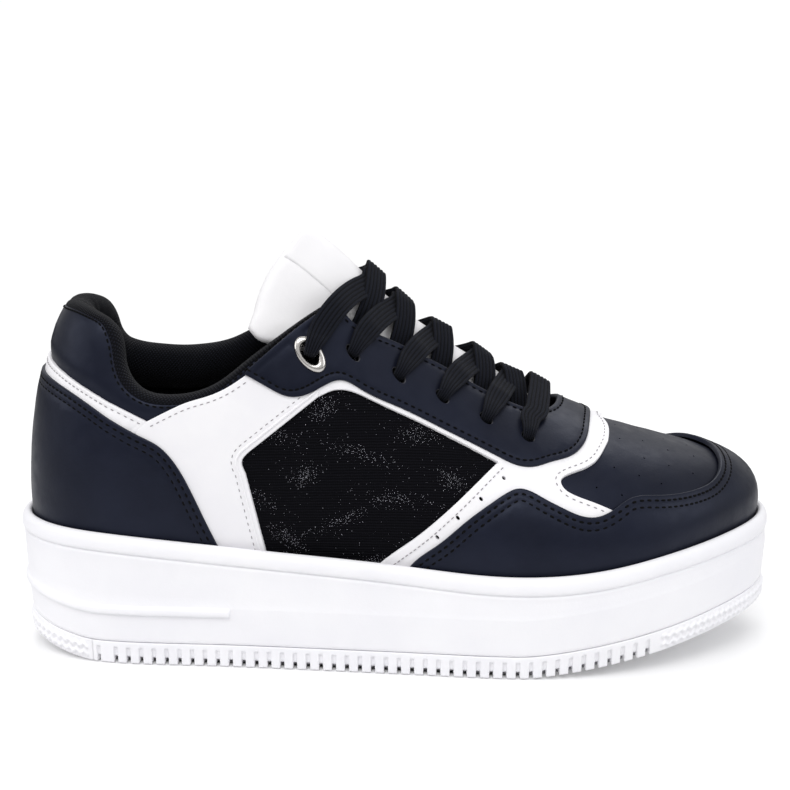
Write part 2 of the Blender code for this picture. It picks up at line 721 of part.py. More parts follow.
front, foot, bottom, window, strip, inner = saddle_half(-1)
left = chain(list(reversed(front)), foot, bottom, window, strip, inner)
f2, o2, b2, w2, s2, i2 = saddle_half(1)
right = chain(list(reversed(f2)), o2, b2, w2, s2, i2)
over_front = smooth([right[0], (77.0, 8), (76.0, 0), (77.0, -8), left[0]], 6.0)
over_back = smooth([left[-1], (64.5, -8), (65.5, 0), (64.5, 8), right[-1]], 6.0)
outline = chain(left, over_back, list(reversed(right)), over_front)
sheet("white_saddle", CROWN, outline, *MIDDLE, white_pu, 7.0)

# --- vamp (toe box), under the saddle and the toe guard
VAMP_BACK = [(47, MARGIN), (49, 14), (53, 28), (58, 42), (64, 56)]


def toe_rim(level, x_from, step=9.0, sign=-1):
    """Lower edge of a toe piece: girth height 'level' from a side round to the tip."""
    out = []
    q0 = Q1 + x_from - HEEL_X
    for a in np.linspace(q0, Q3, int((Q3 - q0) / step) + 1):
        g = float(girth(sign * a)[0]) - level
        if a <= Q2:
            out.append((HEEL_X + a - Q1, sign * g))
        else:
            turn = (a - Q2) / (Q3 - Q2) * math.pi / 2
            out.append((TOE_X + g * math.sin(turn), sign * g * math.cos(turn)))
    return out


def toe_piece(back_points, level, step=7.0, crest=None):
    lat = side_run(back_points, step, -1)
    med = side_run(back_points, step, 1)
    x0 = back_points[0][0]
    rim = toe_rim(level, x0, 8.0, -1) + list(reversed(toe_rim(level, x0, 8.0, 1)))
    over = smooth([lat[-1], (crest, 0), med[-1]], step)
    return chain(rim, med, list(reversed(over)), list(reversed(lat)))


sheet("vamp", CROWN, toe_piece(VAMP_BACK, MARGIN, crest=69.0), *BASE, black_pu, 8.5)

# --- toe guard
guard_lat = [(loop_q(x), s) for x, s in
             [(2, -5.5), (5, 0.5), (14, 9), (24, 18.4), (33, 25.4), (38, 28.8), (42, 30.4), (46, 29.6),
              (51, 26.8), (58, 22.8), (63, 20.2), (69, 18.8), (75, 20.2), (81, 22.8), (91, 21.4)]]
guard_toe = [(-268, 18.4), (-282, 18.6), (-294, 21.0), (-305, 24.5), (-317, 28.0)]
guard_lat = [(-(Q3 + q), s) for q, s in guard_lat]
guard_toe = [(-(Q3 + q), s) for q, s in guard_toe]
guard_med = [(12, 30.5), (24, 31.5), (38, 29.5), (55, 25.5), (75, 22.0), (85, 22.8)]
guard_side = [(Q3 + q, s) for q, s in
              [(loop_q(x), s) for x, s in
               [(75, 20.2), (69, 18.8), (63, 20.2), (58, 22.8), (51, 26.8), (46, 29.6), (42, 30.4),
                (38, 28.8), (33, 25.4), (24, 18.4), (14, 9), (5, 0.5), (2, -5.5)]]]
top_run = smooth(guard_lat + guard_toe + guard_med + guard_side, 6.5)
ends = (top_run[-1], top_run[0])
outline = chain(top_run, straight((ends[0][0], MARGIN), (ends[1][0], MARGIN), 7.5))
sheet("toe_guard", TOE, outline, *TOP, black_pu, 8.0)

# --- eyestay: one U-shaped piece
STAY_LOW = [(-53.5, 62.5), (-45, 58.4), (-38, 55.9), (-33, 56.6), (-26, 60.5), (-20, 62.9),
            (-13, 60.1), (0, 55.4), (14, 50.5), (28, 45.3), (35.5, 42.0), (42.5, 39.2), (48, 39.0),
            (54.6, 41.1), (62, 43.6), (66.6, 49.0), (69, 58)]
THROAT = [(-19.5, 87.0), (-17, 84.3), (-8, 81.3), (0, 79.5), (9, 77.2), (17, 75.0), (24, 72.4),
          (31, 70.0), (40, 67.2), (47, 65.6)]


def stay_half(sign):
    low = side_run(STAY_LOW, 6.0, sign)
    tops = [to_crown(q, s) for q, s in topline_run(COLLAR_INSET, 6.0, sign)]
    rear = sorted(p for p in tops if -53.0 < p[0] < -24.5)
    throat = side_run(THROAT, 6.0, sign)
    return low, rear, throat


low_l, rear_l, throat_l = stay_half(-1)
low_m, rear_m, throat_m = stay_half(1)
front_over = smooth([low_l[-1], (70.6, -6), (71, 0), (70.6, 6), low_m[-1]], 5.0)
throat_over = smooth([throat_l[-1], (54.0, -13), (57.8, -5), (57.8, 5), (54.0, 13), throat_m[-1]], 4.0)
outline = chain(low_l, front_over, list(reversed(low_m)), rear_m, throat_m,
                list(reversed(throat_over)), list(reversed(throat_l)), list(reversed(rear_l)))
sheet("eyestay", CROWN, outline, *TOP, black_pu, 8.5,
      holes=eyelet_holes(-1) + eyelet_holes(1))

# --- stiffeners and linings
outline = chain(smooth([(-92, MARGIN), (-88, 12), (-78, 27), (-62, 34), (-40, 38), (0, 40),
                        (40, 38), (62, 34), (78, 27), (88, 12), (92, MARGIN)], 8.0),
                straight((92, MARGIN), (-92, MARGIN), 8))
sheet("heel_counter", LOOP, outline, *STIFF, material("heel_counter", (0.45, 0.42, 0.38), 0.7), 8.0)

outline = chain(smooth([(-56, MARGIN), (-54, 4), (-40, 10), (-20, 15), (0, 17), (20, 15), (40, 10),
                        (54, 4), (56, MARGIN)], 7.5), straight((56, MARGIN), (-56, MARGIN), 7.5))
sheet("toe_puff", TOE, outline, *STIFF, material("toe_puff", (0.45, 0.42, 0.38), 0.7), 7.5)

lining_mat = material("vamp_lining", (0.03, 0.03, 0.035), 0.95)
sheet("vamp_lining", CROWN, toe_piece([(60, MARGIN), (61, 20), (62, 40), (64, 56)], MARGIN, crest=67.0),
      *LINING, lining_mat, 10.0)

pad_low = smooth([(q, s - 0.8) for q, s in PADLINE], 7.5)
pad_med = smooth([(q, s - 0.8) for q, s in collar_lines(1)[1]], 7.5)
throat_in = [(loop_q(x), s - 1.5 - max(0, x) * 0.045) for x, s in smooth(THROAT, 6.5) if x > -19.0]
front_x = 57.0
front_edge = smooth([(loop_q(47), 61.9), (loop_q(52), 58), (loop_q(55), 45), (loop_q(front_x), 20),
                     (loop_q(front_x), MARGIN)], 8.0)
rear_lip = [(-131.5, 84.0), (-128.0, 80.5)]
half_out = chain(list(reversed(front_edge)), list(reversed(throat_in)), rear_lip, pad_low)
half_in = chain([to_side(q, s, 1) for q, s in reversed(front_edge)],
                [to_side(q, s, 1) for q, s in reversed(throat_in)],
                [to_side(q, s, 1) for q, s in rear_lip], pad_med)
span = straight((-loop_q(front_x), MARGIN), (loop_q(front_x), MARGIN), 11.0)
outline = chain(half_out, list(reversed(half_in)), span)
sheet("quarter_lining", LOOP, outline, *LINING, material("quarter_lining", (0.03, 0.03, 0.035), 0.95),
      11.0, holes=loop_holes(-1, grow=0.4) + loop_holes(1, grow=0.4))


# ---------------------------------------------------------------- padded collar

def collar_body(name, section_points, mat, step=8.5):
    """Sweep a closed section along the topline; u runs from topline to padline."""
    top, low = collar_loop()
    t = np.concatenate([[0], np.cumsum(np.hypot(*np.diff(top, axis=0).T))])
    curves = [spline(t, c) for c in (top[:, 0], top[:, 1], low[:, 0], low[:, 1])]
    ts = np.linspace(0, t[-1], int(t[-1] / step) + 1)
    tq, tss, lq, ls = (c(ts) for c in curves)
    full = np.hypot(lq - tq, ls - tss)
    from_end = np.minimum(ts, t[-1] - ts)
    thin = np.interp(from_end, [0, 22, 50], [0.34, 0.36, 1.0])
    rings = []
    for u, d in section_points:
        k = u / 16.0 if u > 0 else u / full
        q = tq + (lq - tq) * k
        s = tss + (ls - tss) * k
        pts, _ = place(loop_point, q, s, np.where(d < -1.2, -1.2 + (d + 1.2) * thin, d), -1.0)
        rings.append(pts)
    n = len(ts)
    m = len(rings)
    verts = np.vstack(rings)
    faces = []
    for j in range(m):
        k = (j + 1) % m
        for i in range(n - 1):
            faces.append((j * n + i, j * n + i + 1, k * n + i + 1, k * n + i))
    faces.append(tuple(j * n for j in range(m)))
    faces.append(tuple(j * n + n - 1 for j in reversed(range(m))))
    return add_mesh(name, verts, faces, mat)


collar_body("collar_foam", [(3.4, -1.9), (0.9, -2.6), (-0.8, -4.4), (0.6, -7.0), (5.0, -8.2),
                            (14.6, -5.0), (14.6, -3.9), (9.0, -2.6)],
            material("collar_foam", (0.25, 0.25, 0.27), 0.9))
collar_body("collar_lining", [(1.8, 0.0), (-0.7, -0.9), (-2.4, -4.4), (-0.7, -8.3), (4.6, -9.8),
                              (15.4, -6.6), (15.4, -5.6), (4.8, -8.95), (0.1, -7.7),
                              (-1.4, -4.4), (0.2, -1.75), (2.1, -0.95)],
            material("collar_lining", (0.03, 0.03, 0.035), 0.95))

# ---------------------------------------------------------------- tongue

tongue_drop = spline([-60, -36, -15, 70], [-8.2, -8.0, -7.4, -7.2])
throat_b = spline([-60, -20, -8, 0, 9, 17, 31, 47, 60], [44, 31, 27, 24, 21.5, 20.5, 20.5, 20.5, 20.5])
dome = spline([-60, -20, 0, 30, 44, 54, 66], [0.0, 0.0, 0.2, 0.6, 1.6, 4.8, 7.2])


def tongue_point(a, b):
    """Tongue surface: under the eyestay it follows the lining, between it domes up."""
    a = np.atleast_1d(np.asarray(a, float))
    b = np.broadcast_to(np.asarray(b, float), a.shape)
    drop = tongue_drop(a)
    lim = throat_b(a) + 2.0
    mag = np.abs(b)
    sign = np.where(b < 0, -1.0, 1.0)
    flat, _ = place(crown_point, a, sign * np.maximum(mag, lim), drop, 1.0)
    e0, _ = place(crown_point, a, -lim, drop, 1.0)
    e1, _ = place(crown_point, a, lim, drop, 1.0)
    c = np.column_stack([a, spine_y(a), crest_z(a) - 0.6 - dome(a)])
    c[:, 0] += (e0[:, 0] + e1[:, 0]) / 2 - a
    m = (4 * c - e0 - e1) / 2
    t = (np.clip(b / lim, -1, 1) + 1)[:, None] / 2
    bez = (1 - t) ** 2 * e0 + 2 * t * (1 - t) * m + t * t * e1
    return np.where((mag > lim)[:, None], flat, bez)


TONGUE = (tongue_point, 1.0)


def tongue_outline(step=8.0):
    half = smooth([(62, -24), (52, -29.5), (30, -33), (5, -36.5), (-20, -45), (-40, -51.5),
                   (-50, -53), (-53, -50)], step)
    crest = smooth([(-53, -50), (-49, -39), (-40, -24), (-33.4, -9), (-32.3, 0), (-33.4, 9),
                    (-40, 24), (-49, 39), (-53, 50)], step)
    foot = straight((62, 24), (62, -24), step)
    return chain(half, crest, [(u, -v) for u, v in reversed(half)], foot)


def puff(uv, dist):
    """Foam thins towards the free edge."""
    return -0.95 - 4.2 * np.clip(dist / 9.0, 0.25, 1.0)


def puff_low(uv, dist):
    return puff(uv, dist) - 0.45


def puff_lower(uv, dist):
    return puff(uv, dist) - 1.15


sheet("tongue_outer", TONGUE, tongue_outline(), -0.65, 0.0,
      material("tongue_leather", WHITE, 0.45), 8.0)
sheet("tongue_foam", TONGUE, tongue_outline(), puff, -0.95,
      material("tongue_foam", (0.8, 0.8, 0.8), 0.9), 8.0)
sheet("tongue_lining", TONGUE, tongue_outline(), puff_lower, puff_low,
      material("tongue_lining", (0.03, 0.03, 0.035), 0.95), 8.0)

LABEL_FRONT = -19.0
LABEL_HALF = 25.0
label_ring = chain(straight((LABEL_FRONT, -LABEL_HALF), (LABEL_FRONT, LABEL_HALF), 6),
                   straight((LABEL_FRONT, LABEL_HALF), (-41.4, LABEL_HALF), 5),
                   smooth([(-41.4, LABEL_HALF), (-34.2, 9), (-33.1, 0), (-34.2, -9),
                           (-41.4, -LABEL_HALF)], 6),
                   straight((-41.4, -LABEL_HALF), (LABEL_FRONT, -LABEL_HALF), 5))
sheet("tongue_label", TONGUE, label_ring, 0.5, 1.3, material("tongue_label", WHITE, 0.5), 6.0)

# ---------------------------------------------------------------- eyelet rings

steel = material("eyelet_metal", (0.75, 0.74, 0.72), 0.25, 1.0)


def ring_body(name, sign):
    """Turned washer with a short barrel through the eyestay."""
    centre = side(*EYELETS[0], sign)
    prof = [(3.0, -2.2), (3.35, -2.2), (3.35, 2.9), (5.3, 2.9), (5.3, 3.3), (4.2, 3.9), (3.0, 3.4)]
    count = 16
    verts = []
    for r, d in prof:
        ring = np.array(circle(centre, r, count))
        pts, _ = place(crown_point, ring[:, 0], ring[:, 1], d, 1.0)
        verts.append(pts)
    m = len(prof)
    faces = []
    for j in range(m):
        k = (j + 1) % m
        for i in range(count):
            n = (i + 1) % count
            faces.append((j * count + i, j * count + n, k * count + n, k * count + i))
    return add_mesh(name, np.vstack(verts), faces, steel)


ring_body("eyelet_ring_lateral", -1)
ring_body("eyelet_ring_medial", 1)

# ---------------------------------------------------------------- lace

LACE_T = 1.1


def on_stay(a, b, d):
    p, n = place(crown_point, np.array([a]), np.array([b]), d, 1.0)
    return p[0], n[0]


def on_tongue(a, b, d):
    p, n = place(tongue_point, np.array([a]), np.array([b]), d, 1.0)
    return p[0], n[0]


def unit(v):
    return v / max(np.linalg.norm(v), 1e-9)


def hole(k, sign):
    return side(*EYELETS[k], sign)


def run_point(k_out, sign, t):
    """Chart point on the run from eyelet k_out (outside) to the next one across (under)."""
    a0, b0 = hole(k_out, sign)
    a1, b1 = hole(k_out + 1, -sign)
    sweep = SWEEP[k_out] * (1 - (2 * t - 1) ** 2)
    return a0 + (a1 - a0) * t + sweep, b0 + (b1 - b0) * t


SWEEP = [13.0, 8.5, 7.0, 7.0, 3.5]


throat_s = spline([x for x, s in THROAT], [s for x, s in THROAT])


def edge_b(a, sign):
    """Girth distance from the crest to the eyestay's inner edge, on one side."""
    return abs(side(a, float(throat_s(a)), sign)[1])


def between(a, b):
    """Under the lining, but never in the tongue."""
    p, n = on_stay(a, b, -5.0)
    q, m = on_tongue(a, b, 1.15)
    return (p, n) if p[2] > q[2] else (q, m)


def run_rows(k_out, sign, high):
    """One lace run: out of the eyelet, over the tongue, under the far eyestay edge."""
    raised = 1.2 if k_out == 0 else 0.0
    span = abs(hole(k_out, sign)[1]) + abs(hole(k_out + 1, -sign)[1])
    rows = []
    for shift, d, w, t in [(0.0, -2.4, 2.7, 1.6), (0.0, 1.4, 2.7, 1.6), (1.2, 4.3 + raised, 3.4, 1.6),
                           (4.2, 4.3 + raised, 5.2, 1.2), (8.2, 4.3 + raised / 3, 7.2, 1.0)]:
        p, n = on_stay(*run_point(k_out, sign, shift / span), d)
        rows.append((p, n, w, t))
    t0 = 11.5 / span
    t1 = 1 - 9.5 / span
    count = 15
    for i in range(count + 1):
        a, b = run_point(k_out, sign, t0 + (t1 - t0) * i / count)
        gap = abs(b) - edge_b(a, 1 if b > 0 else -1)
        out_side = (b < 0) == (sign < 0)
        if out_side and gap > -3.6:
            p, n = on_stay(a, b, 4.3)
        elif not out_side and gap > -2.2:
            p, n = between(a, b)
        elif gap > -5.6:
            continue
        else:
            p, n = on_tongue(a, b, 3.7 if high else 2.05)
        rows.append((p, n, 7.4, 0.9))
    for shift, d, w, t in [(6.5, -5.0, 6.4, 0.9), (2.0, -4.8, 3.8, 1.2), (0.0, -3.0, 2.7, 1.6)]:
        p, n = on_stay(*run_point(k_out, sign, 1 - shift / span), d)
        rows.append((p, n, w, t))
    return rows


def ribbon(name, rows, mat):
    """Sweep a flat four-sided section through stations (centre, normal, width, thickness)."""
    pts = np.array([r[0] for r in rows])
    tang = np.gradient(pts, axis=0)
    verts = []
    keep_w = None
    for i, (p, n, w, t) in enumerate(rows):
        tt = unit(tang[i])
        wide = np.cross(n, tt)
        if np.linalg.norm(wide) < 0.35:
            wide = keep_w
        if keep_w is not None and np.dot(wide, keep_w) < 0:
            wide = -wide
        wide = unit(wide - tt * np.dot(wide, tt))
        keep_w = wide
        up = unit(np.cross(tt, wide))
        for cw, ch in ((-0.5, 0.5), (0.5, 0.5), (0.5, -0.5), (-0.5, -0.5)):
            verts.append(p + wide * cw * w + up * ch * t)
    faces = []
    for i in range(len(rows) - 1):
        for j in range(4):
            k = (j + 1) % 4
            faces.append((i * 4 + j, i * 4 + k, i * 4 + 4 + k, i * 4 + 4 + j))
    faces.append((0, 1, 2, 3))
    faces.append(tuple(reversed(range(len(rows) * 4 - 4, len(rows) * 4))))
    return add_mesh(name, verts, faces, mat)


def bar_rows(sign):
    """Straight run outside across the front pair of eyelets."""
    rows = []
    a, b = hole(5, sign)
    for shift, d, w, t in [(0.0, -2.4, 2.7, 1.6), (0.0, 1.4, 2.7, 1.6), (1.2, 4.2, 3.4, 1.6),
                           (4.2, 4.2, 5.2, 1.2), (8.2, 4.1, 7.4, 1.0)]:
        p, n = on_stay(a + 0.1 * shift, b - sign * shift, d)
        rows.append((p, n, w, t))
    half = []
    for t in (0.19, 0.28, 0.37, 0.44, 0.5):
        aa = a + 4.6 * (1 - (2 * t - 1) ** 2)
        p, n = on_stay(aa, b * (1 - 2 * t), 4.2)
        q, m = on_tongue(aa, b * (1 - 2 * t), 2.0)
        half.append((p, n, 7.6, 1.0) if p[2] > q[2] else (q, m, 7.6, 1.0))
    return rows + half


def lace_rows():
    """Tail, criss-cross down to the front bar, criss-cross back up, tail."""
    rows = list(lace_tail(-1))
    sign = -1
    for k in range(5):
        rows += run_rows(k, sign, sign > 0)
        sign = -sign
    bar_near = bar_rows(sign)
    bar_far = bar_rows(-sign)
    rows += bar_near + list(reversed(bar_far))[1:]
    sign = -sign
    for k in range(4, -1, -1):
        rows += list(reversed(run_rows(k, -sign, -sign > 0)))
        sign = -sign
    rows += list(reversed(lace_tail(1)))
    clean = [rows[0]]
    for row in rows[1:]:
        if np.linalg.norm(row[0] - clean[-1][0]) > 1.1:
            clean.append(row)
    return clean


def lace_tail(sign):
    """Free end inside the shoe, hanging below the top eyelet."""
    a, b = hole(0, sign)
    out = []
    for shift, d, w, t in [(26, -6.6, 3.0, 2.2), (18, -6.2, 6.4, 1.1), (10, -6.2, 6.0, 1.1),
                           (4, -6.3, 4.0, 1.4), (0.6, -5.2, 3.0, 1.9)]:
        p, n = on_stay(a - 0.25 * shift, b + sign * shift, d)
        out.append((p, n, w, t))
    return out


black_lace = material("lace_weave", (0.018, 0.018, 0.022), 0.85)
ribbon("lace", lace_rows(), black_lace)


def lace_tip(name, sign):
    a, b = hole(0, sign)
    rows = []
    for shift, d in [(26.8, -6.6), (33, -6.6), (41, -6.6)]:
        p, n = on_stay(a - 0.25 * shift, b + sign * shift, d)
        rows.append((p, n, 2.6, 2.4))
    return ribbon(name, rows, tip_mat)


tip_mat = material("lace_tip_plastic", (0.02, 0.02, 0.02), 0.3)
lace_tip("lace_tip_lateral", -1)
lace_tip("lace_tip_medial", 1)

# ---------------------------------------------------------------- moving pieces

TONGUE_HINGE = (60.0, 6.0, 82.0)        # where the tongue is sewn to the vamp
SOCKLINER_HINGE = (128.0, 6.0, 41.0)    # toe end of the sockliner
MOVING = {
    TONGUE_HINGE: ("tongue_outer", "tongue_foam", "tongue_lining", "tongue_label"),
    SOCKLINER_HINGE: ("sockliner_foam", "sockliner_cover"),
}
ROUND = ("outsole", "cupsole", "eyelet_ring_lateral", "eyelet_ring_medial", "collar_foam",
         "collar_lining", "vamp", "toe_guard")


def hang(obj, hinge):
    """Put a moving piece's origin on its joint's axis."""
    shift = Vector(hinge) * MM
    obj.data.transform(Matrix.Translation(-shift))
    obj.location = shift


for hinge, members in MOVING.items():
    for member in members:
        hang(bpy.data.objects[member], hinge)

for member in ROUND:
    for poly in bpy.data.objects[member].data.polygons:
        poly.use_smooth = True
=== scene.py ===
"""Looks of the low-top platform court sneaker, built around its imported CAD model.

Lengths are millimetres in the frame of the part and are scaled to metres on output.
The upper is one curved surface seen through flat charts, the same ones as the CAD:
  loop chart  (q, s)  q runs round the shoe, s is the girth height above the sole rim
  crown chart (a, b)  a runs along the instep, b is the girth distance from its crest
Each panel is a flat outline in a chart, laid on the surface with rolled, stitched edges.
"""
import math

import bmesh
import bpy
import numpy as np
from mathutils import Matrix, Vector
from mathutils.geometry import delaunay_2d_cdt


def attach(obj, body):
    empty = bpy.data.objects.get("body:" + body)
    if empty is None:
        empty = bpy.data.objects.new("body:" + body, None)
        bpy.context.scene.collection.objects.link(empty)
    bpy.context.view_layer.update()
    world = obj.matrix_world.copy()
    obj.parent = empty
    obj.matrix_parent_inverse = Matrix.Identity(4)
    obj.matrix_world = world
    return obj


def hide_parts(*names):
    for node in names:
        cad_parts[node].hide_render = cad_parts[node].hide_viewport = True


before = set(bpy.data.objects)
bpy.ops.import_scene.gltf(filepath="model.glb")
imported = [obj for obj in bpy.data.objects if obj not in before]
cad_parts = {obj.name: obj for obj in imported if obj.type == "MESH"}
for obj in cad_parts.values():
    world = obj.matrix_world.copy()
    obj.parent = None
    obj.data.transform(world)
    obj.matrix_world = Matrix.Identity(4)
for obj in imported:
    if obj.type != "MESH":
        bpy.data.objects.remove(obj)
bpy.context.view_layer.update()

MM = 0.001
FINE = 1.2          # spacing of points along a panel's edge
RNG = np.random.default_rng(11)

# ---------------------------------------------------------------- curves


def spline(xs, ys, periodic=False):
    """Natural or periodic cubic through the given points."""
    xs = np.asarray(xs, float)
    ys = np.asarray(ys, float)
    n = len(xs)
    h = np.diff(xs)
    lhs = np.zeros((n, n))
    rhs = np.zeros(n)
    for i in range(1, n - 1):
        lhs[i, i - 1:i + 2] = h[i - 1], 2 * (h[i - 1] + h[i]), h[i]
        rhs[i] = 6 * ((ys[i + 1] - ys[i]) / h[i] - (ys[i] - ys[i - 1]) / h[i - 1])
    if periodic:
        lhs[0, 0] = 2 * (h[0] + h[-1])
        lhs[0, 1] = h[0]
        lhs[0, n - 2] = h[-1]
        rhs[0] = 6 * ((ys[1] - ys[0]) / h[0] - (ys[-1] - ys[-2]) / h[-1])
        lhs[-1, 0] = 1
        lhs[-1, -1] = -1
    else:
        lhs[0, 0] = 1
        lhs[-1, -1] = 1
    m = np.linalg.solve(lhs, rhs)

    def curve(x):
        x = np.asarray(x, float)
        if periodic:
            x = (x - xs[0]) % (xs[-1] - xs[0]) + xs[0]
        x = np.clip(x, xs[0], xs[-1])
        i = np.clip(np.searchsorted(xs, x) - 1, 0, n - 2)
        t0 = xs[i + 1] - x
        t1 = x - xs[i]
        hi = h[i]
        cubic = (m[i] * t0 ** 3 + m[i + 1] * t1 ** 3) / (6 * hi)
        return cubic + (ys[i] / hi - m[i] * hi / 6) * t0 + (ys[i + 1] / hi - m[i + 1] * hi / 6) * t1

    return curve


def smooth(points, step=FINE, closed=False):
    """Resample a smooth curve through control points at about the given step."""
    pts = np.asarray(list(points) + ([points[0]] if closed else []), float)
    t = np.concatenate([[0], np.cumsum(np.hypot(*np.diff(pts, axis=0).T))])
    fx = spline(t, pts[:, 0], closed)
    fy = spline(t, pts[:, 1], closed)
    count = max(2, int(round(t[-1] / step)) + 1)
    grid = np.linspace(0, t[-1], count)
    if closed:
        grid = grid[:-1]
    return [(float(fx(g)), float(fy(g))) for g in grid]


def straight(p, q, step=FINE):
    """Evenly spaced points on a straight line, both ends included."""
    count = max(1, int(round(math.dist(p, q) / step)))
    return [(p[0] + (q[0] - p[0]) * i / count, p[1] + (q[1] - p[1]) * i / count)
            for i in range(count + 1)]


def chain(*runs):
    """Join runs of points into one closed outline, dropping repeats."""
    out = []
    for run in runs:
        for p in run:
            if not out or math.dist(out[-1], p) > 0.3:
                out.append(tuple(p))
    if math.dist(out[0], out[-1]) <= 0.3:
        out.pop()
    return out


# ---------------------------------------------------------------- last shape

HEEL_X = -102.0
TOE_X = 91.0
TOE_Y = 7.0
Q1 = 56.0
Q2 = Q1 + TOE_X - HEEL_X
Q3 = Q2 + 75.0

spine_y = spline([HEEL_X, -60, 0, 50, TOE_X], [0, 0, 2, 5.5, TOE_Y])

# plan outline of the sole at its widest, anticlockwise from the heel
OUTLINE = [(-140, 0), (-135.5, -16), (-123, -28.5), (-103, -35.5), (-70, -38.5),
           (-30, -42.5), (10, -47.5), (45, -51.5), (75, -49), (102, -38.5),
           (123, -22.5), (136.5, -5), (140, 10), (135.5, 26), (120, 40.5),
           (94, 50), (65, 52), (35, 47), (0, 39.5), (-40, 35.5), (-73, 36),
           (-103, 35), (-123, 28), (-135.5, 16)]

# height of the sole rim, where the upper meets it
rim_z = spline([-140, -103, -60, 0, 30, 76, 98, 116, 140],
               [50.5, 48.3, 44.5, 40, 37.5, 39.5, 43, 45.5, 48.5])
# crest of the instep, closed over the opening
crest_z = spline([HEEL_X, -80, -55, -35, -20, -8, 5, 20, 35, 48, 61, 75, TOE_X],
                 [150, 160, 163, 156, 145.5, 134.5, 123.3, 112.5, 103, 95.2, 87.6, 81.6, 77.0])
crest_fall = spline([HEEL_X, -60, -30, 0, 30, 48, 64, TOE_X],
                    [0, 0.25, 0.60, 0.75, 0.72, 0.50, 0.10, 0.0])
TOE_SLOPE = -0.30

WALL = 3.7          # thickness of the sole rim
STACK = 3.3         # room for the outer layers of the upper inside the rim

STATION = [0, 28, 56, 101, 161, 196, 226, Q2, Q2 + 40, Q3]
belly = spline(STATION, [2.6, 3.6, 5.4, 5.6, 5.6, 5.6, 5.6, 5.2, 4.4, 3.4])
rise = spline(STATION, [.40, .42, .40, .42, .45, .48, .55, .55, .60, .62])
reach = spline(STATION, [.46, .65, .78, .78, .60, .54, .56, .60, .66, .68])


def sole_bottom(x):
    """Height of the walking edge: flat, with toe spring and a heel bevel."""
    toe = np.maximum(np.asarray(x, float) - 42, 0)
    heel = np.maximum(-108 - np.asarray(x, float), 0)
    return 0.17 * toe ** 2 / (toe + 14) + 0.25 * heel ** 2 / (heel + 12)


def loop_frame(q):
    """Spine point and outward plan direction at loop coordinate q."""
    q = np.asarray(q, float)
    side = np.where(q < 0, -1.0, 1.0)
    a = np.abs(q)
    x = np.clip(HEEL_X + a - Q1, HEEL_X, TOE_X)
    th = np.minimum(a / Q1, 1) * math.pi / 2
    ph = np.clip((a - Q2) / (Q3 - Q2), 0, 1) * math.pi / 2
    dx = np.where(a < Q1, -np.cos(th), np.sin(ph))
    dy = side * np.where(a < Q1, np.sin(th), np.cos(ph))
    return x, spine_y(x), dx, dy


def outline_table():
    pts = np.array(smooth(OUTLINE, 0.3, closed=True))
    x, y = pts.T
    side = np.where(y < spine_y(np.clip(x, HEEL_X, TOE_X)), -1, 1)
    q = side * (Q1 + x - HEEL_X)
    r = np.abs(y - spine_y(x))
    heel = x < HEEL_X
    q = np.where(heel, np.arctan2(y, HEEL_X - x) / (math.pi / 2) * Q1, q)
    r = np.where(heel, np.hypot(x - HEEL_X, y), r)
    toe = x > TOE_X
    ph = np.arctan2(x - TOE_X, np.abs(y - TOE_Y)) / (math.pi / 2)
    q = np.where(toe, np.where(y < TOE_Y, -1, 1) * (Q2 + ph * (Q3 - Q2)), q)
    r = np.where(toe, np.hypot(x - TOE_X, y - TOE_Y), r)
    order = np.argsort(q)
    q = q[order]
    r = r[order]
    return (np.concatenate([q[-9:] - 2 * Q3, q, q[:9] + 2 * Q3]),
            np.concatenate([r[-9:], r, r[:9]]))


TABLE_Q, TABLE_R = outline_table()


def sole_radius(q):
    return np.interp(q, TABLE_Q, TABLE_R)


def section(q):
    """Section curves of the upper: (r, z) samples and girth above the rim."""
    q = np.atleast_1d(np.asarray(q, float))
    a = np.abs(q)
    x, y, dx, dy = loop_frame(q)
    rf = sole_radius(q) - WALL - STACK
    z0 = rim_z(x + dx * rf)
    z1 = crest_z(x)
    h = z1 - z0
    fall = np.where(a > Q2, -TOE_SLOPE * dx, crest_fall(x))
    knots = [(rf, z0), (rf + belly(a), z0 + h * rise(a)),
             (rf * reach(a), z1 - fall * rf * reach(a)), (0 * rf, z1)]
    t = np.linspace(0, 1, 90)[None, :]
    weights = [(1 - t) ** 3, 3 * (1 - t) ** 2 * t, 3 * (1 - t) * t * t, t ** 3]
    r = sum(w * k[0][:, None] for w, k in zip(weights, knots))
    z = sum(w * k[1][:, None] for w, k in zip(weights, knots))
    seg = np.hypot(np.diff(r, axis=1), np.diff(z, axis=1))
    s = np.concatenate([np.zeros((len(q), 1)), np.cumsum(seg, 1)], 1)
    return (x, y, dx, dy), r, z, s


def loop_point(q, s):
    """Surface point in the loop chart; below the rim the wall drops straight."""
    q = np.atleast_1d(np.asarray(q, float))
    q = (q + Q3) % (2 * Q3) - Q3
    s = np.broadcast_to(np.asarray(s, float), q.shape)
    (x, y, dx, dy), r, z, arc = section(q)
    row = np.arange(len(q))
    i = np.clip((arc < s[:, None]).sum(1) - 1, 0, arc.shape[1] - 2)
    f = (s - arc[row, i]) / (arc[row, i + 1] - arc[row, i])
    rr = r[row, i] * (1 - f) + r[row, i + 1] * f
    zz = z[row, i] * (1 - f) + z[row, i + 1] * f
    rr = np.where(s < 0, r[:, 0], rr)
    zz = np.where(s < 0, z[:, 0] + s, zz)
    return np.column_stack([x + dx * rr, y + dy * rr, zz])


def girth(q):
    return section(q)[3][:, -1]


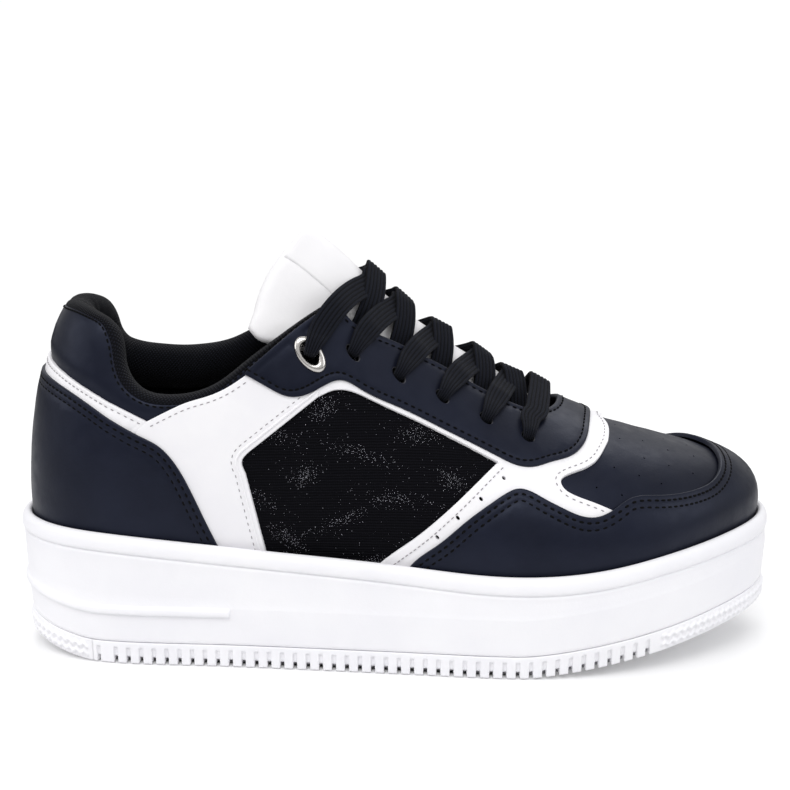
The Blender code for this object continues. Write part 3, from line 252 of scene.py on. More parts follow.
def crown_to_loop(a, b):
    a = np.atleast_1d(np.asarray(a, float))
    b = np.broadcast_to(np.asarray(b, float), a.shape)
    side = np.where(b < 0, -1.0, 1.0)
    over = a > TOE_X
    dist = np.where(over, np.hypot(a - TOE_X, b), np.abs(b))
    turn = np.arctan2(a - TOE_X, np.abs(b)) / (math.pi / 2)
    q = side * np.where(over, Q2 + turn * (Q3 - Q2), Q1 + a - HEEL_X)
    return q, girth(q) - dist


def crown_point(a, b):
    return loop_point(*crown_to_loop(a, b))


def toe_point(w, s):
    """Loop chart unrolled about the toe tip."""
    w = np.atleast_1d(np.asarray(w, float))
    return loop_point(np.where(w < 0, -1, 1) * (Q3 - np.abs(w)), s)


def place(chart, u, v, d, flip=1.0, eps=0.6):
    """Chart coordinates and offsets to space."""
    u = np.asarray(u, float)
    v = np.asarray(v, float)
    p = chart(u, v)
    du = chart(u + eps, v) - chart(u - eps, v)
    dv = chart(u, v + eps) - chart(u, v - eps)
    n = np.cross(du, dv) * flip
    n /= np.linalg.norm(n, axis=1)[:, None]
    return p + n * np.broadcast_to(np.asarray(d, float), u.shape)[:, None], n


LOOP = (loop_point, -1.0)
TOE = (toe_point, 1.0)
CROWN = (crown_point, 1.0)


def loop_q(x):
    """Loop coordinate of a point x on the outer side."""
    return -(Q1 + x - HEEL_X)


def to_side(q, s, sign):
    """Outer-side loop point, carried to the inner side in proportion to the girth."""
    if sign > 0 and s > 0:
        s *= float(girth(abs(q))[0] / girth(-abs(q))[0])
    return sign * abs(q), s


def to_crown(q, s):
    return HEEL_X - Q1 + abs(q), math.copysign(float(girth(q)[0]) - s, q)


def side(x, s, sign=-1):
    """Side point (x along the shoe, girth height s) in the crown chart."""
    return to_crown(*to_side(loop_q(x), s, sign))


def side_run(points, sign):
    return [side(x, s, sign) for x, s in smooth(points)]


# ---------------------------------------------------------------- mesh tools


CRISP = math.radians(55)    # a panel's cut edges are steeper than this and stay sharp


def build(name, verts, faces, mat, body="shoe", nodes=(), slot=None, uv=None, crisp=False):
    """A smooth-shaded piece from vertices in millimetres, riding on a CAD body."""
    mesh = bpy.data.meshes.new(name)
    mesh.from_pydata((np.asarray(verts, float) * MM).tolist(), [], [tuple(f) for f in faces])
    mesh.validate()
    bm = bmesh.new()
    bm.from_mesh(mesh)
    bmesh.ops.recalc_face_normals(bm, faces=bm.faces)
    bm.to_mesh(mesh)
    bm.free()
    mesh.polygons.foreach_set("use_smooth", np.ones(len(mesh.polygons), bool))
    if crisp:
        mesh.set_sharp_from_angle(angle=CRISP)
    if uv is not None:
        layer = mesh.uv_layers.new(name="chart")
        index = np.zeros(len(mesh.loops), int)
        mesh.loops.foreach_get("vertex_index", index)
        layer.data.foreach_set("uv", (np.asarray(uv, float)[index] * MM).ravel())
    mesh.materials.append(mat)
    obj = bpy.data.objects.new(name, mesh)
    bpy.context.scene.collection.objects.link(obj)
    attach(obj, body)
    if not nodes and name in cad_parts:
        nodes = [name]      # a piece stands for the CAD node of the same name
    if nodes:
        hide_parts(*nodes)
    return obj


def inside(points, loops):
    """Even-odd test of many points against several closed loops."""
    x, y = points.T
    odd = np.zeros(len(points), bool)
    for loop in loops:
        ring = np.asarray(loop, float)
        for (x0, y0), (x1, y1) in zip(ring, np.roll(ring, -1, axis=0)):
            if y0 != y1:
                hit = (y0 > y) != (y1 > y)
                odd ^= hit & (x < (x1 - x0) * (y - y0) / (y1 - y0) + x0)
    return odd


def edge_distance(points, loops):
    best = np.full(len(points), 1e9)
    for loop in loops:
        ring = np.asarray(loop, float)
        for p, q in zip(ring, np.roll(ring, -1, axis=0)):
            e = q - p
            t = np.clip(((points - p) @ e) / max(e @ e, 1e-12), 0, 1)
            best = np.minimum(best, np.linalg.norm(points - p - t[:, None] * e, axis=1))
    return best


def refine(loop):
    """Split the long sides of a closed outline."""
    out = []
    for k, p in enumerate(loop):
        out += straight(p, loop[(k + 1) % len(loop)])[:-1]
    return out


def signed_area(loop):
    x, y = np.asarray(loop, float).T
    return 0.5 * float(x @ np.roll(y, -1) - y @ np.roll(x, -1))


def inset_ring(loop, dist, into):
    """Points beside a loop, at a distance to its inner (+1) or outer (-1) side."""
    ring = np.asarray(loop, float)
    tang = np.roll(ring, -1, axis=0) - np.roll(ring, 1, axis=0)
    tang /= np.maximum(np.linalg.norm(tang, axis=1), 1e-9)[:, None]
    turn = math.copysign(into, signed_area(loop))
    return ring + np.column_stack([-tang[:, 1], tang[:, 0]]) * turn * dist


def triangulate(outline, holes, step, insets):
    """Triangles over an outline, with rows of points at set distances from its edges."""
    loops = [outline] + holes
    cloud = []
    for dist in insets:
        for k, loop in enumerate(loops):
            pts = inset_ring(loop, dist, 1 if k == 0 else -1)
            near = edge_distance(pts, loops)
            cloud.append(pts[inside(pts, loops) & (near > 0.93 * dist)])
    ring = np.asarray(outline, float)
    lo = ring.min(0)
    hi = ring.max(0)
    grid = np.array([(u, v) for k, v in enumerate(np.arange(lo[1], hi[1], step * 0.87))
                     for u in np.arange(lo[0] + (k % 2) * step / 2, hi[0], step)])
    margin = max(insets, default=0) + 0.45 * step
    grid = grid[inside(grid, loops) & (edge_distance(grid, loops) > margin)]
    pts = np.vstack([np.vstack([np.asarray(x, float) for x in loops])] + cloud + [grid])
    edges = []
    base = 0
    for loop in loops:
        n = len(loop)
        edges += [(base + i, base + (i + 1) % n) for i in range(n)]
        base += n
    verts, _, faces, *_ = delaunay_2d_cdt([Vector(p) for p in pts], edges, [], 0, 1e-5)
    uv = np.array([tuple(v) for v in verts])
    tris = np.array([f for f in faces if len(f) == 3])
    mid = uv[tris].mean(1)
    tris = tris[inside(mid, loops)]
    used, flat = np.unique(tris, return_inverse=True)
    return uv[used], flat.reshape(-1, 3)


def roll_drop(dist, radius):
    """How far a rounded edge falls below its panel."""
    t = np.clip(1 - dist / radius, 0, 1)
    return radius * (1 - np.sqrt(np.maximum(1 - t * t, 0)))


def ripple(p, size, height):
    """Gentle unevenness of soft sheet, from a few crossing waves."""
    k = 2 * math.pi / size
    x, y, z = p.T
    return height * (np.sin(k * (x + 0.4 * z) + 1.3) * np.sin(k * (z - 0.3 * y) + 0.4)
                     + 0.6 * np.sin(k * 1.9 * (x - z) + 2.1) * np.sin(k * 1.6 * (y + z)))


def panel(name, chart, outline, low, high, mat, step=2.4, holes=(), roll=0.45, groove=(),
          puff=0.0, relief=None, wave=0.05, **where):
    """A sewn panel with rolled edges, sunk stitch lines and a slightly full middle."""
    outline = refine(outline)
    holes = [list(h) for h in holes]
    rows = [0.25 * roll, 0.6 * roll, roll]
    for g in groove:
        rows += [g - 0.55, g, g + 0.55]
    uv, tris = triangulate(outline, holes, step, sorted(rows))
    fn, flip = chart
    outer = edge_distance(uv, [outline])
    top = high(uv, outer) if callable(high) else np.full(len(uv), float(high))
    base, normal = place(fn, uv[:, 0], uv[:, 1], 0.0, flip)
    top = top - roll_drop(outer, roll) + puff * np.clip(outer / 7.0, 0, 1) ** 0.6
    top = top + ripple(base, 26.0, wave) * np.clip(outer / 5.0, 0, 1)
    for g in groove:
        top = top - 0.22 * np.exp(-((outer - g) / 0.42) ** 2)
    if relief is not None:
        top = top + relief(uv)
    bottom = low(uv, outer) if callable(low) else np.full(len(uv), float(low))
    p1 = base + normal * top[:, None]
    p0 = base + normal * bottom[:, None]
    n = len(uv)
    faces = (tris + n).tolist() + tris[:, ::-1].tolist()
    sides = np.vstack([tris[:, [0, 1]], tris[:, [1, 2]], tris[:, [2, 0]]])
    have = {(i, j) for i, j in sides.tolist()}
    faces += [(i, j, j + n, i + n) for i, j in have if (j, i) not in have]
    return build(name, np.vstack([p0, p1]), faces, mat, uv=np.vstack([uv, uv]), crisp=True,
                 **where)


def unit(v):
    return v / max(np.linalg.norm(v), 1e-9)


def circle(centre, radius, count):
    return [(centre[0] + radius * math.cos(2 * math.pi * i / count),
             centre[1] + radius * math.sin(2 * math.pi * i / count)) for i in range(count)]


def offset_run(run, dist):
    """An open run moved sideways (left is +), without the points that fold over."""
    pts = np.asarray(run, float)
    tang = np.gradient(pts, axis=0)
    tang /= np.maximum(np.linalg.norm(tang, axis=1), 1e-9)[:, None]
    moved = pts + np.column_stack([-tang[:, 1], tang[:, 0]]) * dist
    gap = np.full(len(moved), 1e9)
    for p, q in zip(pts[:-1], pts[1:]):
        e = q - p
        t = np.clip(((moved - p) @ e) / max(e @ e, 1e-12), 0, 1)
        gap = np.minimum(gap, np.linalg.norm(moved - p - t[:, None] * e, axis=1))
    return moved[gap > 0.95 * abs(dist)]


def walk(pts, pitch):
    """Points and directions at an even pitch along a run."""
    pts = np.asarray(pts, float)
    arc = np.concatenate([[0], np.cumsum(np.linalg.norm(np.diff(pts, axis=0), axis=1))])
    at = np.arange(1.0, arc[-1], pitch)
    mid, ahead, back = (np.column_stack([np.interp(at + shift, arc, c) for c in pts.T])
                        for shift in (0.0, 0.3, -0.3))
    return mid, ahead - back


GRAIN_SIDES = 6
GRAIN_RINGS = [(-1.0, 0.0), (-0.86, 0.62), (-0.45, 1.0), (0.45, 1.0), (0.86, 0.62), (1.0, 0.0)]


def grains(centres, along, normals, length, width, height):
    """Many small thread-like capsules as one body of vertices and faces."""
    along = along / np.linalg.norm(along, axis=1)[:, None]
    across = np.cross(normals, along)
    verts = []
    sides = GRAIN_SIDES
    for t, r in GRAIN_RINGS:
        for k in range(sides if r else 1):
            w = 2 * math.pi * k / sides
            verts.append(centres + along * t * length / 2
                         + across * r * math.cos(w) * width / 2
                         + normals * r * math.sin(w) * height / 2)
    per = len(verts)
    faces = [(0, 1 + (k + 1) % sides, 1 + k) for k in range(sides)]
    for ring in range(3):
        a = 1 + ring * sides
        for k in range(sides):
            j = (k + 1) % sides
            faces.append((a + k, a + j, a + sides + j, a + sides + k))
    last = 1 + 3 * sides
    faces += [(last + k, last + (k + 1) % sides, per - 1) for k in range(sides)]
    stacked = np.stack(verts, axis=1).reshape(-1, 3)
    every = [tuple(i + m * per for i in f) for m in range(len(centres)) for f in faces]
    return stacked, every


def join(parts):
    """Several (vertices, faces) bodies as one."""
    verts = []
    faces = []
    base = 0
    for v, f in parts:
        verts.append(v)
        faces += [tuple(i + base for i in face) for face in f]
        base += len(v)
    return np.vstack(verts), faces


ON_MIDDLE = 1.62    # height of the stitches on the white layer
ON_TOP = 2.62       # and on the outermost black layer
# pitch, stitch length and thread width
STITCH = {"black": (2.5, 1.6, 0.66), "bold": (2.8, 1.7, 0.85), "grey": (2.5, 1.3, 0.36)}


class Seams:
    """Stitches gathered by thread, made into one piece per thread at the end."""

    def __init__(self):
        self.store = {}

    def add(self, thread, chart, run, inset, height):
        pitch, length, wide = STITCH[thread]
        path = offset_run(run, inset) if inset else np.asarray(run, float)
        if len(path) < 4:
            return
        fn, flip = chart
        mid, along = walk(path, pitch)
        p, n = place(fn, mid[:, 0], mid[:, 1], height, flip)
        q, _ = place(fn, *(mid + along * 0.5).T, height, flip)
        self.store.setdefault(thread, []).append(grains(p, q - p, n, length, wide, 0.42))

    def make(self, thread, name, mat, **where):
        return build(name, *join(self.store[thread]), mat, **where)


seams = Seams()


# ---------------------------------------------------------------- materials

RIBS = 6            # lengthwise ribs of the lace
LACE_HALF = 4.0     # half width of the lace in its own chart
KNIT_SLANT = math.radians(6)


class Look:
    """A Principled material with helpers for its node tree."""

    def __init__(self, name, roughness, metallic=0.0, sheen=0.0, shine=None):
        self.mat = bpy.data.materials.new(name)
        self.mat.use_nodes = True
        self.tree = self.mat.node_tree
        self.bsdf = self.tree.nodes["Principled BSDF"]
        self.use("Roughness", roughness)
        self.use("Metallic", metallic)
        self.use("Sheen Weight", sheen)
        if shine is not None:
            self.use("Specular IOR Level", shine)
        self.coords = self.tree.nodes.new("ShaderNodeTexCoord")
        self.normal = None

    def feed(self, socket, value):
        if isinstance(value, bpy.types.NodeSocket):
            self.tree.links.new(value, socket)
        else:
            socket.default_value = value

    def use(self, socket, value):
        self.feed(self.bsdf.inputs[socket], value)

    def node(self, kind, inputs=None, **props):
        n = self.tree.nodes.new("ShaderNode" + kind)
        for key, value in props.items():
            setattr(n, key, value)
        for key, value in (inputs or {}).items():
            self.feed(n.inputs[key], value)
        return n

    def noise(self, scale, detail=3.0, rough=0.5):
        return self.node("TexNoise", {"Vector": self.coords.outputs["Object"], "Scale": scale,
                                      "Detail": detail, "Roughness": rough}).outputs["Fac"]

    def cells(self, scale, feature="F1"):
        return self.node("TexVoronoi", {"Vector": self.coords.outputs["Object"], "Scale": scale},
                         feature=feature).outputs["Distance"]

    def waves(self, scale, angle, where="UV", distortion=0.0, bands="X"):
        spun = self.node("Mapping", {"Vector": self.coords.outputs[where], "Rotation": (0, 0, angle)})
        return self.node("TexWave", {"Vector": spun.outputs[0], "Scale": scale,
                                     "Distortion": distortion, "Detail": 1.0},
                         bands_direction=bands).outputs["Fac"]

    def maths(self, op, a, b=0.0):
        return self.node("Math", {0: a, 1: b}, operation=op).outputs[0]

    def remap(self, value, lo, hi, to_lo=0.0, to_hi=1.0):
        return self.node("MapRange", {"Value": value, "From Min": lo, "From Max": hi,
                                      "To Min": to_lo, "To Max": to_hi}).outputs[0]

    def mix(self, factor, a, b):
        n = self.node("Mix", {"Factor": factor}, data_type="RGBA")
        for key, value in (("A", a), ("B", b)):
            socket = [i for i in n.inputs if i.name == key and i.type == "RGBA"][0]
            self.feed(socket, (*value, 1.0) if isinstance(value, tuple) else value)
        return [o for o in n.outputs if o.type == "RGBA"][0]

    def colour(self, factor, a, b):
        self.use("Base Color", self.mix(factor, a, b))

    def roughen(self, scale, lo, hi):
        """Roughness that wanders between two values."""
        self.use("Roughness", self.remap(self.noise(scale), 0.3, 0.7, lo, hi))

    def bump(self, height, distance, strength):
        """Relief of the given depth in metres, on top of any set before."""
        inputs = {"Height": height, "Distance": distance, "Strength": strength}
        if self.normal is not None:
            inputs["Normal"] = self.normal
        self.normal = self.node("Bump", inputs).outputs[0]
        self.use("Normal", self.normal)


def leather(name, dark, light, rough, grain, shine=0.5, tint=(1.0, 1.0, 1.0)):
    """Coated synthetic leather: fine pebble grain, faint cloudiness, satin shine."""
    look = Look(name, rough, shine=shine)
    look.use("Specular Tint", (*tint, 1.0))
    look.colour(look.remap(look.noise(45.0, 4.0), 0.35, 0.65), dark, light)
    look.roughen(220.0, rough - 0.05, rough + 0.07)
    look.bump(look.cells(1500.0, "SMOOTH_F1"), 0.00005, grain)
    look.bump(look.noise(420.0), 0.00010, 0.30)
    look.bump(look.noise(90.0, 2.0), 0.00035, 0.22)
    return look.mat


def rubber_look(name, dark, light, rough):
    """Moulded foam rubber: faintly grainy skin."""
    look = Look(name, rough)
    look.colour(look.remap(look.noise(30.0), 0.35, 0.65), dark, light)
    look.roughen(600.0, rough - 0.06, rough + 0.08)
    look.bump(look.noise(1100.0, 4.0, 0.65), 0.00012, 0.45)
    look.bump(look.noise(140.0, 2.0), 0.00025, 0.18)
    return look.mat


def wave_scale(pitch):
    """Scale of a wave texture that repeats at a pitch in millimetres."""
    return 1000.0 / pitch / 6.2832 * 2


def mesh_look(name, dark, light, pitch):
    """Knitted lining: crossing diagonal ribs with small pits between, painted darker in the pits as shade.
    """
    look = Look(name, 0.92, sheen=0.05, shine=0.15)
    weave = look.maths("MULTIPLY", look.waves(wave_scale(pitch), math.radians(35)),
                       look.waves(wave_scale(pitch), math.radians(-40)))
    # painted shade: the colour darkens where the weave's relief is low
    look.colour(look.remap(weave, 0.1, 0.8), dark, light)
    look.bump(weave, 0.00035, 0.9)
    look.bump(look.noise(1800.0), 0.0001, 0.5)
    return look.mat


def thread_look(name, colour, rough=0.8):
    look = Look(name, rough, shine=0.15)
    fibres = look.waves(900.0, 0.6, "Object", 2.0)
    look.colour(fibres, tuple(c * 0.6 for c in colour), colour)
    look.bump(fibres, 0.00006, 0.7)
    return look.mat


def lace_look(name):
    """Flat woven cord: raised ribs and small herringbone loops, painted darker in the grooves between them
    as shade.
    """
    look = Look(name, 0.86, sheen=0.03, shine=0.12)
    weave = look.maths("MAXIMUM", look.waves(620.0, math.radians(38), distortion=0.4),
                       look.waves(620.0, math.radians(-38), distortion=0.4))
    across = look.node("SeparateXYZ", {0: look.coords.outputs["UV"]}).outputs[1]
    phase = look.maths("MULTIPLY", look.maths("ADD", across, LACE_HALF * MM),
                       math.pi * RIBS / (2 * LACE_HALF * MM))
    ridge = look.maths("ABSOLUTE", look.maths("SINE", phase))
    relief_shade = look.maths("MULTIPLY", look.remap(weave, 0.3, 1.0, 0.55, 1.0), look.remap(ridge, 0.15, 0.7))
    # painted shade: the dark end falls in the grooves and between the loops, the light end on the rib tops
    look.colour(relief_shade, (0.0006, 0.0007, 0.0014), (0.0085, 0.0100, 0.0170))
    look.bump(weave, 0.00022, 0.8)
    look.bump(look.noise(2500.0), 0.00008, 0.5)
    return look.mat


def knit_look(name):
    """Matt black knit with slanting, wavering courses, painted darker in the troughs between them as
    shade.
    """
    look = Look(name, 0.9, shine=0.06)
    rows = look.waves(wave_scale(1.0), KNIT_SLANT, distortion=1.0, bands="Y")
    loops = look.waves(wave_scale(0.8), KNIT_SLANT, distortion=0.8)
    relief_shade = look.maths("MULTIPLY", look.remap(rows, 0, 1, 0.25, 1.0), look.remap(loops, 0, 1, 0.6, 1.0))
    # painted shade: darker in the troughs of the courses and loops
    look.colour(relief_shade, (0.0006, 0.0006, 0.0010), (0.0060, 0.0060, 0.0085))
    look.bump(relief_shade, 0.00030, 0.9)
    look.bump(look.noise(1600.0), 0.0001, 0.4)
    return look.mat


def metal_look(name, colour, rough):
    look = Look(name, rough, metallic=1.0)
    look.use("Base Color", (*colour, 1.0))
    look.roughen(300.0, rough - 0.04, rough + 0.08)
    look.bump(look.noise(700.0), 0.00003, 0.4)
    return look.mat


def core_look(name, rough, pattern, dark, light, depth, strength):
    """Plain look of a hidden sheet or foam; pattern is Look.noise or Look.cells."""
    look = Look(name, rough)
    look.colour(pattern(look, 200.0 if pattern is Look.noise else 700.0), dark, light)
    look.bump(pattern(look, 900.0), depth, strength)
    return look.mat


SHEEN_BLUE = (0.66, 0.73, 1.0)      # what the black leather reflects is tinted
black_pu = leather("black_pu", (0.0036, 0.0045, 0.0102), (0.0060, 0.0074, 0.0155), 0.38, 0.35, 0.27,
                   SHEEN_BLUE)
white_pu = leather("white_pu", (0.86, 0.85, 0.88), (0.90, 0.89, 0.91), 0.42, 0.30)
tongue_pu = leather("tongue_pu", (0.86, 0.85, 0.87), (0.90, 0.89, 0.905), 0.45, 0.30)
sole_rubber = rubber_look("sole_rubber", (0.87, 0.865, 0.90), (0.91, 0.905, 0.93), 0.48)
# the tread band uses the wall's rubber a touch lighter: painted light against the shade on the low band
tread_rubber_lightened = rubber_look("tread_rubber_lightened", (0.88, 0.875, 0.91), (0.92, 0.915, 0.94), 0.55)
lining = mesh_look("black_mesh", (0.0008, 0.0010, 0.0022), (0.0065, 0.0078, 0.0150), 1.05)
bedding = mesh_look("footbed_knit", (0.0015, 0.0015, 0.002), (0.010, 0.010, 0.012), 1.1)
knit = knit_look("glitter_knit")
flake = metal_look("silver_flake", (0.72, 0.72, 0.80), 0.26)
steel = metal_look("eyelet_metal", (0.60, 0.58, 0.56), 0.20)
black_thread = thread_look("black_thread", (0.0012, 0.0012, 0.0016), 0.9)
grey_thread = thread_look("grey_thread", (0.42, 0.40, 0.42))
cut_edge = thread_look("cut_edge", (0.10, 0.10, 0.115))
lace_mat = lace_look("lace_weave")
aglet = metal_look("aglet", (0.02, 0.02, 0.02), 0.3)


# ---------------------------------------------------------------- sole

tuck = spline([0, 56, 200, Q2, Q2 + 40, Q3], [3.4, 3.2, 3.0, 3.6, 2.8, 1.8])
TREAD = 8.3              # height of the tread band
NOTCH_PITCH = 4.65
NOTCH_COUNT = 43
FIRST_NOTCH = -106.5
NOTCH_TALL = 6.0         # the notches reach this far up the tread band
NOTCH_SHALLOW = 0.75     # depth of a notch at its top, deepening to the ground
NOTCH_DEEP = 6.0
NOTCH_HALF = 0.78        # half its width
NOTCH_STEPS = (-1.2, -NOTCH_HALF, -0.62, -0.3, 0, 0.3, 0.62, NOTCH_HALF, 1.2)
LEDGE_END = 98.0         # the ledge round the heel ends here
HEEL_GRIP = 46.0         # chevrons cover the tread band up to here, and from TOE_GRIP on
TOE_GRIP = 251.0
CHEVRON_WIDE = 3.4
CHEVRON_TALL = 3.1
CHEVRON_DEEP = 0.9
# heights of the tread band's rows above the ground line
TREAD_ROWS = (8.1, 8.0, 7.7, 7.2, 6.7, 6.25, 6.0, 5.7, 5.3, 4.9, 4.5, 4.1,
              3.7, 3.3, 2.9, 2.5, 2.1, 1.7, 1.3, 0.9, 0.5, 0.2, 0.0)
# grooves round the sole's underside: (inset from the edge, depth)
GROOVES = ((3.4, 0.0), (5.0, 0.0), (5.3, 1.0), (7.0, 1.0), (7.3, 0.0), (11.5, 0.0), (11.8, 1.0),
           (13.3, 1.0), (13.6, 0.0), (18.0, 0.0), (18.3, 1.0), (19.6, 1.0), (19.9, 0.0))
# rolled rim of the wall: (offset from the edge, drop below the rim)
RIM_ROLL = ((-3.55, 0.35), (-3.2, -0.15), (-2.7, -0.4), (-2.1, -0.45), (-1.5, -0.2), (-1.0, 0.25),
            (-0.55, 0.9), (-0.25, 1.7), (-0.05, 2.7), (0.0, 3.8), (-0.05, 4.8), (-0.25, 5.5),
            (-0.6, 5.85), (-1.05, 5.95), (-1.1, 6.2), (-0.85, 6.45), (-0.6, 6.9))
# ledge round the heel: (height above the tread, how far it stands out)
LEDGE = ((14.0, 0.1), (13.7, 0.5), (13.3, 0.85), (12.7, 1.05), (12.0, 1.1), (11.4, 1.1), (11.0, 0.95),
         (10.75, 0.55), (10.6, 0.0), (10.2, 0.0))
BED_DROP = 8.0           # the footbed lies this far below the rim
BED_LOW = 3.7
BED_HIGH = 4.6
BED_INSET = 4.2
# top face of the footbed: (share of the radius, height)
BED_TOP = ((0, 0), (0.3, 0), (0.6, 0), (0.85, 0.5), (0.97, 0.8), (1.0, 0.4))


def loop_height(line, q, inset):
    """Height of a line over the plan point a set distance inside the sole edge."""
    x, _, dx, _ = loop_frame(q)
    return line(x + dx * (sole_radius(q) - inset))


def foot_height(q):
    return loop_height(sole_bottom, q, 3.0)


def rim_height(q):
    return loop_height(rim_z, q, WALL + STACK)


def spine_height(line, q):
    """Height of a side line at the spine point that loop position q radiates from."""
    return line(loop_frame(q)[0])


def wall_radius(q, z):
    """Outer sole wall: leans out slightly towards the rim."""
    foot = foot_height(q)
    t = np.clip((z - foot) / (rim_height(q) - 4 - foot), 0, 1)
    return sole_radius(q) - tuck(np.abs(q)) * (1 - t) ** 1.2


def lathe(name, qs, rows, mat, **where):
    """Closed body from (r, z) rows round the loop; rows with r = 0 meet on the spine."""
    x, y, dx, dy = loop_frame(qs)
    verts = np.concatenate([np.column_stack([x + dx * r, y + dy * r, np.broadcast_to(z, x.shape)])
                            for r, z in rows])
    n = len(qs)
    k = np.arange(n)
    m = (k + 1) % n
    faces = np.concatenate([np.column_stack([j * n + k, j * n + m, j * n + n + m, j * n + n + k])
                            for j in range(len(rows) - 1)])
    obj = build(name, verts, faces.tolist(), mat, uv=np.column_stack([np.tile(qs, len(rows)),
                                                                     verts[:, 2]]), **where)
    bm = bmesh.new()
    bm.from_mesh(obj.data)
    bmesh.ops.remove_doubles(bm, verts=bm.verts, dist=0.002 * MM)
    bmesh.ops.recalc_face_normals(bm, faces=bm.faces)
    bm.to_mesh(obj.data)
    bm.free()
    return obj


def both_ways(half):
    """Loop positions of one half, mirrored to the other and freed of repeats."""
    half = sorted(set(round(float(h), 3) for h in half))
    return np.array([-h for h in reversed(half)][:-1] + half[:-1])


def tri_wave(x):
    return np.abs((x % 1.0) * 2 - 1)


def grip(q, up):
    """Two rows of small raised chevrons on the ends of the tread band."""
    a = np.abs(q)
    rows = tri_wave(up / CHEVRON_TALL + 0.5 * tri_wave(a / CHEVRON_WIDE))
    fade = np.clip(up / 0.8 - 0.6, 0, 1) * np.clip((7.4 - up) / 0.6, 0, 1)
    zone = np.clip((HEEL_GRIP - 1.5 - a) / 0.5, 0, 1) + np.clip((a - TOE_GRIP - 1) / 0.5, 0, 1)
    return CHEVRON_DEEP * np.clip(1.6 * rows - 0.35, 0, 1) * fade * zone


def make_tread():
    notch_x = FIRST_NOTCH + NOTCH_PITCH * np.arange(NOTCH_COUNT)
    notch_q = Q1 + np.where(notch_x >= HEEL_X, notch_x - HEEL_X, (notch_x - HEEL_X) * 1.55)
    half = [0.0, Q3, HEEL_GRIP, HEEL_GRIP + 0.35, HEEL_GRIP + 0.7, TOE_GRIP]
    half += list(np.arange(0.45, HEEL_GRIP, 0.5)) + list(np.arange(TOE_GRIP + 0.5, Q3, 0.5))
    for nq in notch_q:
        half += [nq - 2.0] + [nq + step for step in NOTCH_STEPS]
    qs = both_ways(half)
    gap = np.abs(np.abs(qs)[:, None] - notch_q[None, :]).min(1)
    notch = np.clip((NOTCH_HALF - gap) / 0.14, 0, 1)
    seam = (np.abs(np.abs(qs) - HEEL_GRIP - 0.35) < 0.2) * 0.7
    foot = foot_height(qs)
    top = foot + TREAD - 0.2
    rows = [(0 * qs, spine_height(sole_bottom, qs) + TREAD - 0.2), (wall_radius(qs, top) - 1.0, top)]
    for up in TREAD_ROWS:
        corner = 0.22 * (up > 8.05) + 0.06 * (abs(up - 8.0) < 0.01)
        corner += 0.25 * (up < 0.1) + 0.06 * (0.1 < up < 0.3)
        sunk = notch * np.clip((NOTCH_TALL + 0.3 - up) / 0.7, 0, 1) * (
            NOTCH_SHALLOW + (NOTCH_DEEP - NOTCH_SHALLOW) * np.clip(1 - up / 2.6, 0, 1))
        r = wall_radius(qs, foot + up) + 0.12 - corner - sunk - seam + grip(qs, up)
        rows.append((r, foot + up))
    r0 = wall_radius(qs, foot)
    x, _, dx, _ = loop_frame(qs)
    for inset, lift in GROOVES:
        r = np.maximum(r0 - inset, 0.12)
        blend = np.clip((r - 1.0) / 4.0, 0, 1)
        rows.append((r, sole_bottom(x + dx * r) + lift * blend))
    rows.append((0 * qs, spine_height(sole_bottom, qs)))
    lathe("tread", qs, rows, tread_rubber_lightened, nodes=["outsole"], slot="outsole_rubber")


def make_wall():
    qs = both_ways(list(np.arange(0, Q3, 1.5)) + [Q3, LEDGE_END, LEDGE_END + 0.25, LEDGE_END - 0.6])
    foot = foot_height(qs)
    rim = rim_height(qs)
    low = foot + TREAD
    rs = sole_radius(qs)
    ledge = np.clip((LEDGE_END + 0.25 - np.abs(qs)) / 0.4, 0, 1)
    rows = [(0 * qs, spine_height(sole_bottom, qs) + TREAD + 3.0),
            (wall_radius(qs, low) - WALL - 1, low + 3.0), (rs - WALL, rim - 11), (rs - WALL, rim - 1.0)]
    for out, drop in RIM_ROLL:
        rows.append((rs + out, rim - drop))
    start = rim - 7.6
    for t in np.linspace(0, 1, 5):
        z = start + (low + 14.4 - start) * t
        rows.append((wall_radius(qs, z) - 0.55 * (1 - t) - 0.1 * t, z))
    for up, out in LEDGE:
        rows.append((wall_radius(qs, low + up) + out * ledge, low + up))
    for up in (7.0, 4.0, 1.5, 0.5, 0.15):
        rows.append((wall_radius(qs, low + up) - 0.25 * (up < 0.2), low + up))
    rows.append((wall_radius(qs, low) - 0.8, low - 0.1))
    rows.append((0 * qs, spine_height(sole_bottom, qs) + TREAD - 0.1))
    lathe("sole_wall", qs, rows, sole_rubber, nodes=["cupsole"], slot="sole_wall")


def make_footbed():
    """Loose footbed that follows the rim's height, a little dished."""
    qs = both_ways(np.arange(0, Q3 + 0.1, Q3 / 110))
    rim = rim_height(qs) - BED_DROP
    mid = spine_height(rim_z, qs) - BED_DROP
    r = sole_radius(qs) - WALL - STACK - BED_INSET
    levels = [(k, BED_HIGH + z) for k, z in BED_TOP] + [(k, BED_LOW) for k in (1.0, 0.6, 0)]
    lathe("footbed", qs, [(r * k, mid * (1 - k) + rim * k + z) for k, z in levels], bedding,
          body="sockliner", nodes=["sockliner_cover"], slot="sockliner_cover")


make_tread()
make_wall()
make_footbed()


# ---------------------------------------------------------------- upper

MARGIN = -6.0       # how far the panels tuck down inside the rim
EYELETS = [(-31.0, 71.0), (-16.5, 72.8), (-0.5, 67.0), (15.0, 62.2), (30.8, 57.0), (46.0, 51.4)]
HOLE_R = 2.5
RING_HOLE_R = 4.2
HALF_NAMES = {-1: "lateral", 1: "medial"}

TOPLINE = [(-131, 88.7), (-124, 82.8), (-116, 75.8), (-103, 64.2), (-94, 56.4), (-85, 52.0),
           (-76, 50.3), (-68.5, 51.0), (-62.5, 55.0), (-59.5, 61.5), (-58.5, 68.5), (-55.5, 74.5),
           (-47, 77.6), (-34, 79.2), (-17, 79.6), (0, 79.2)]
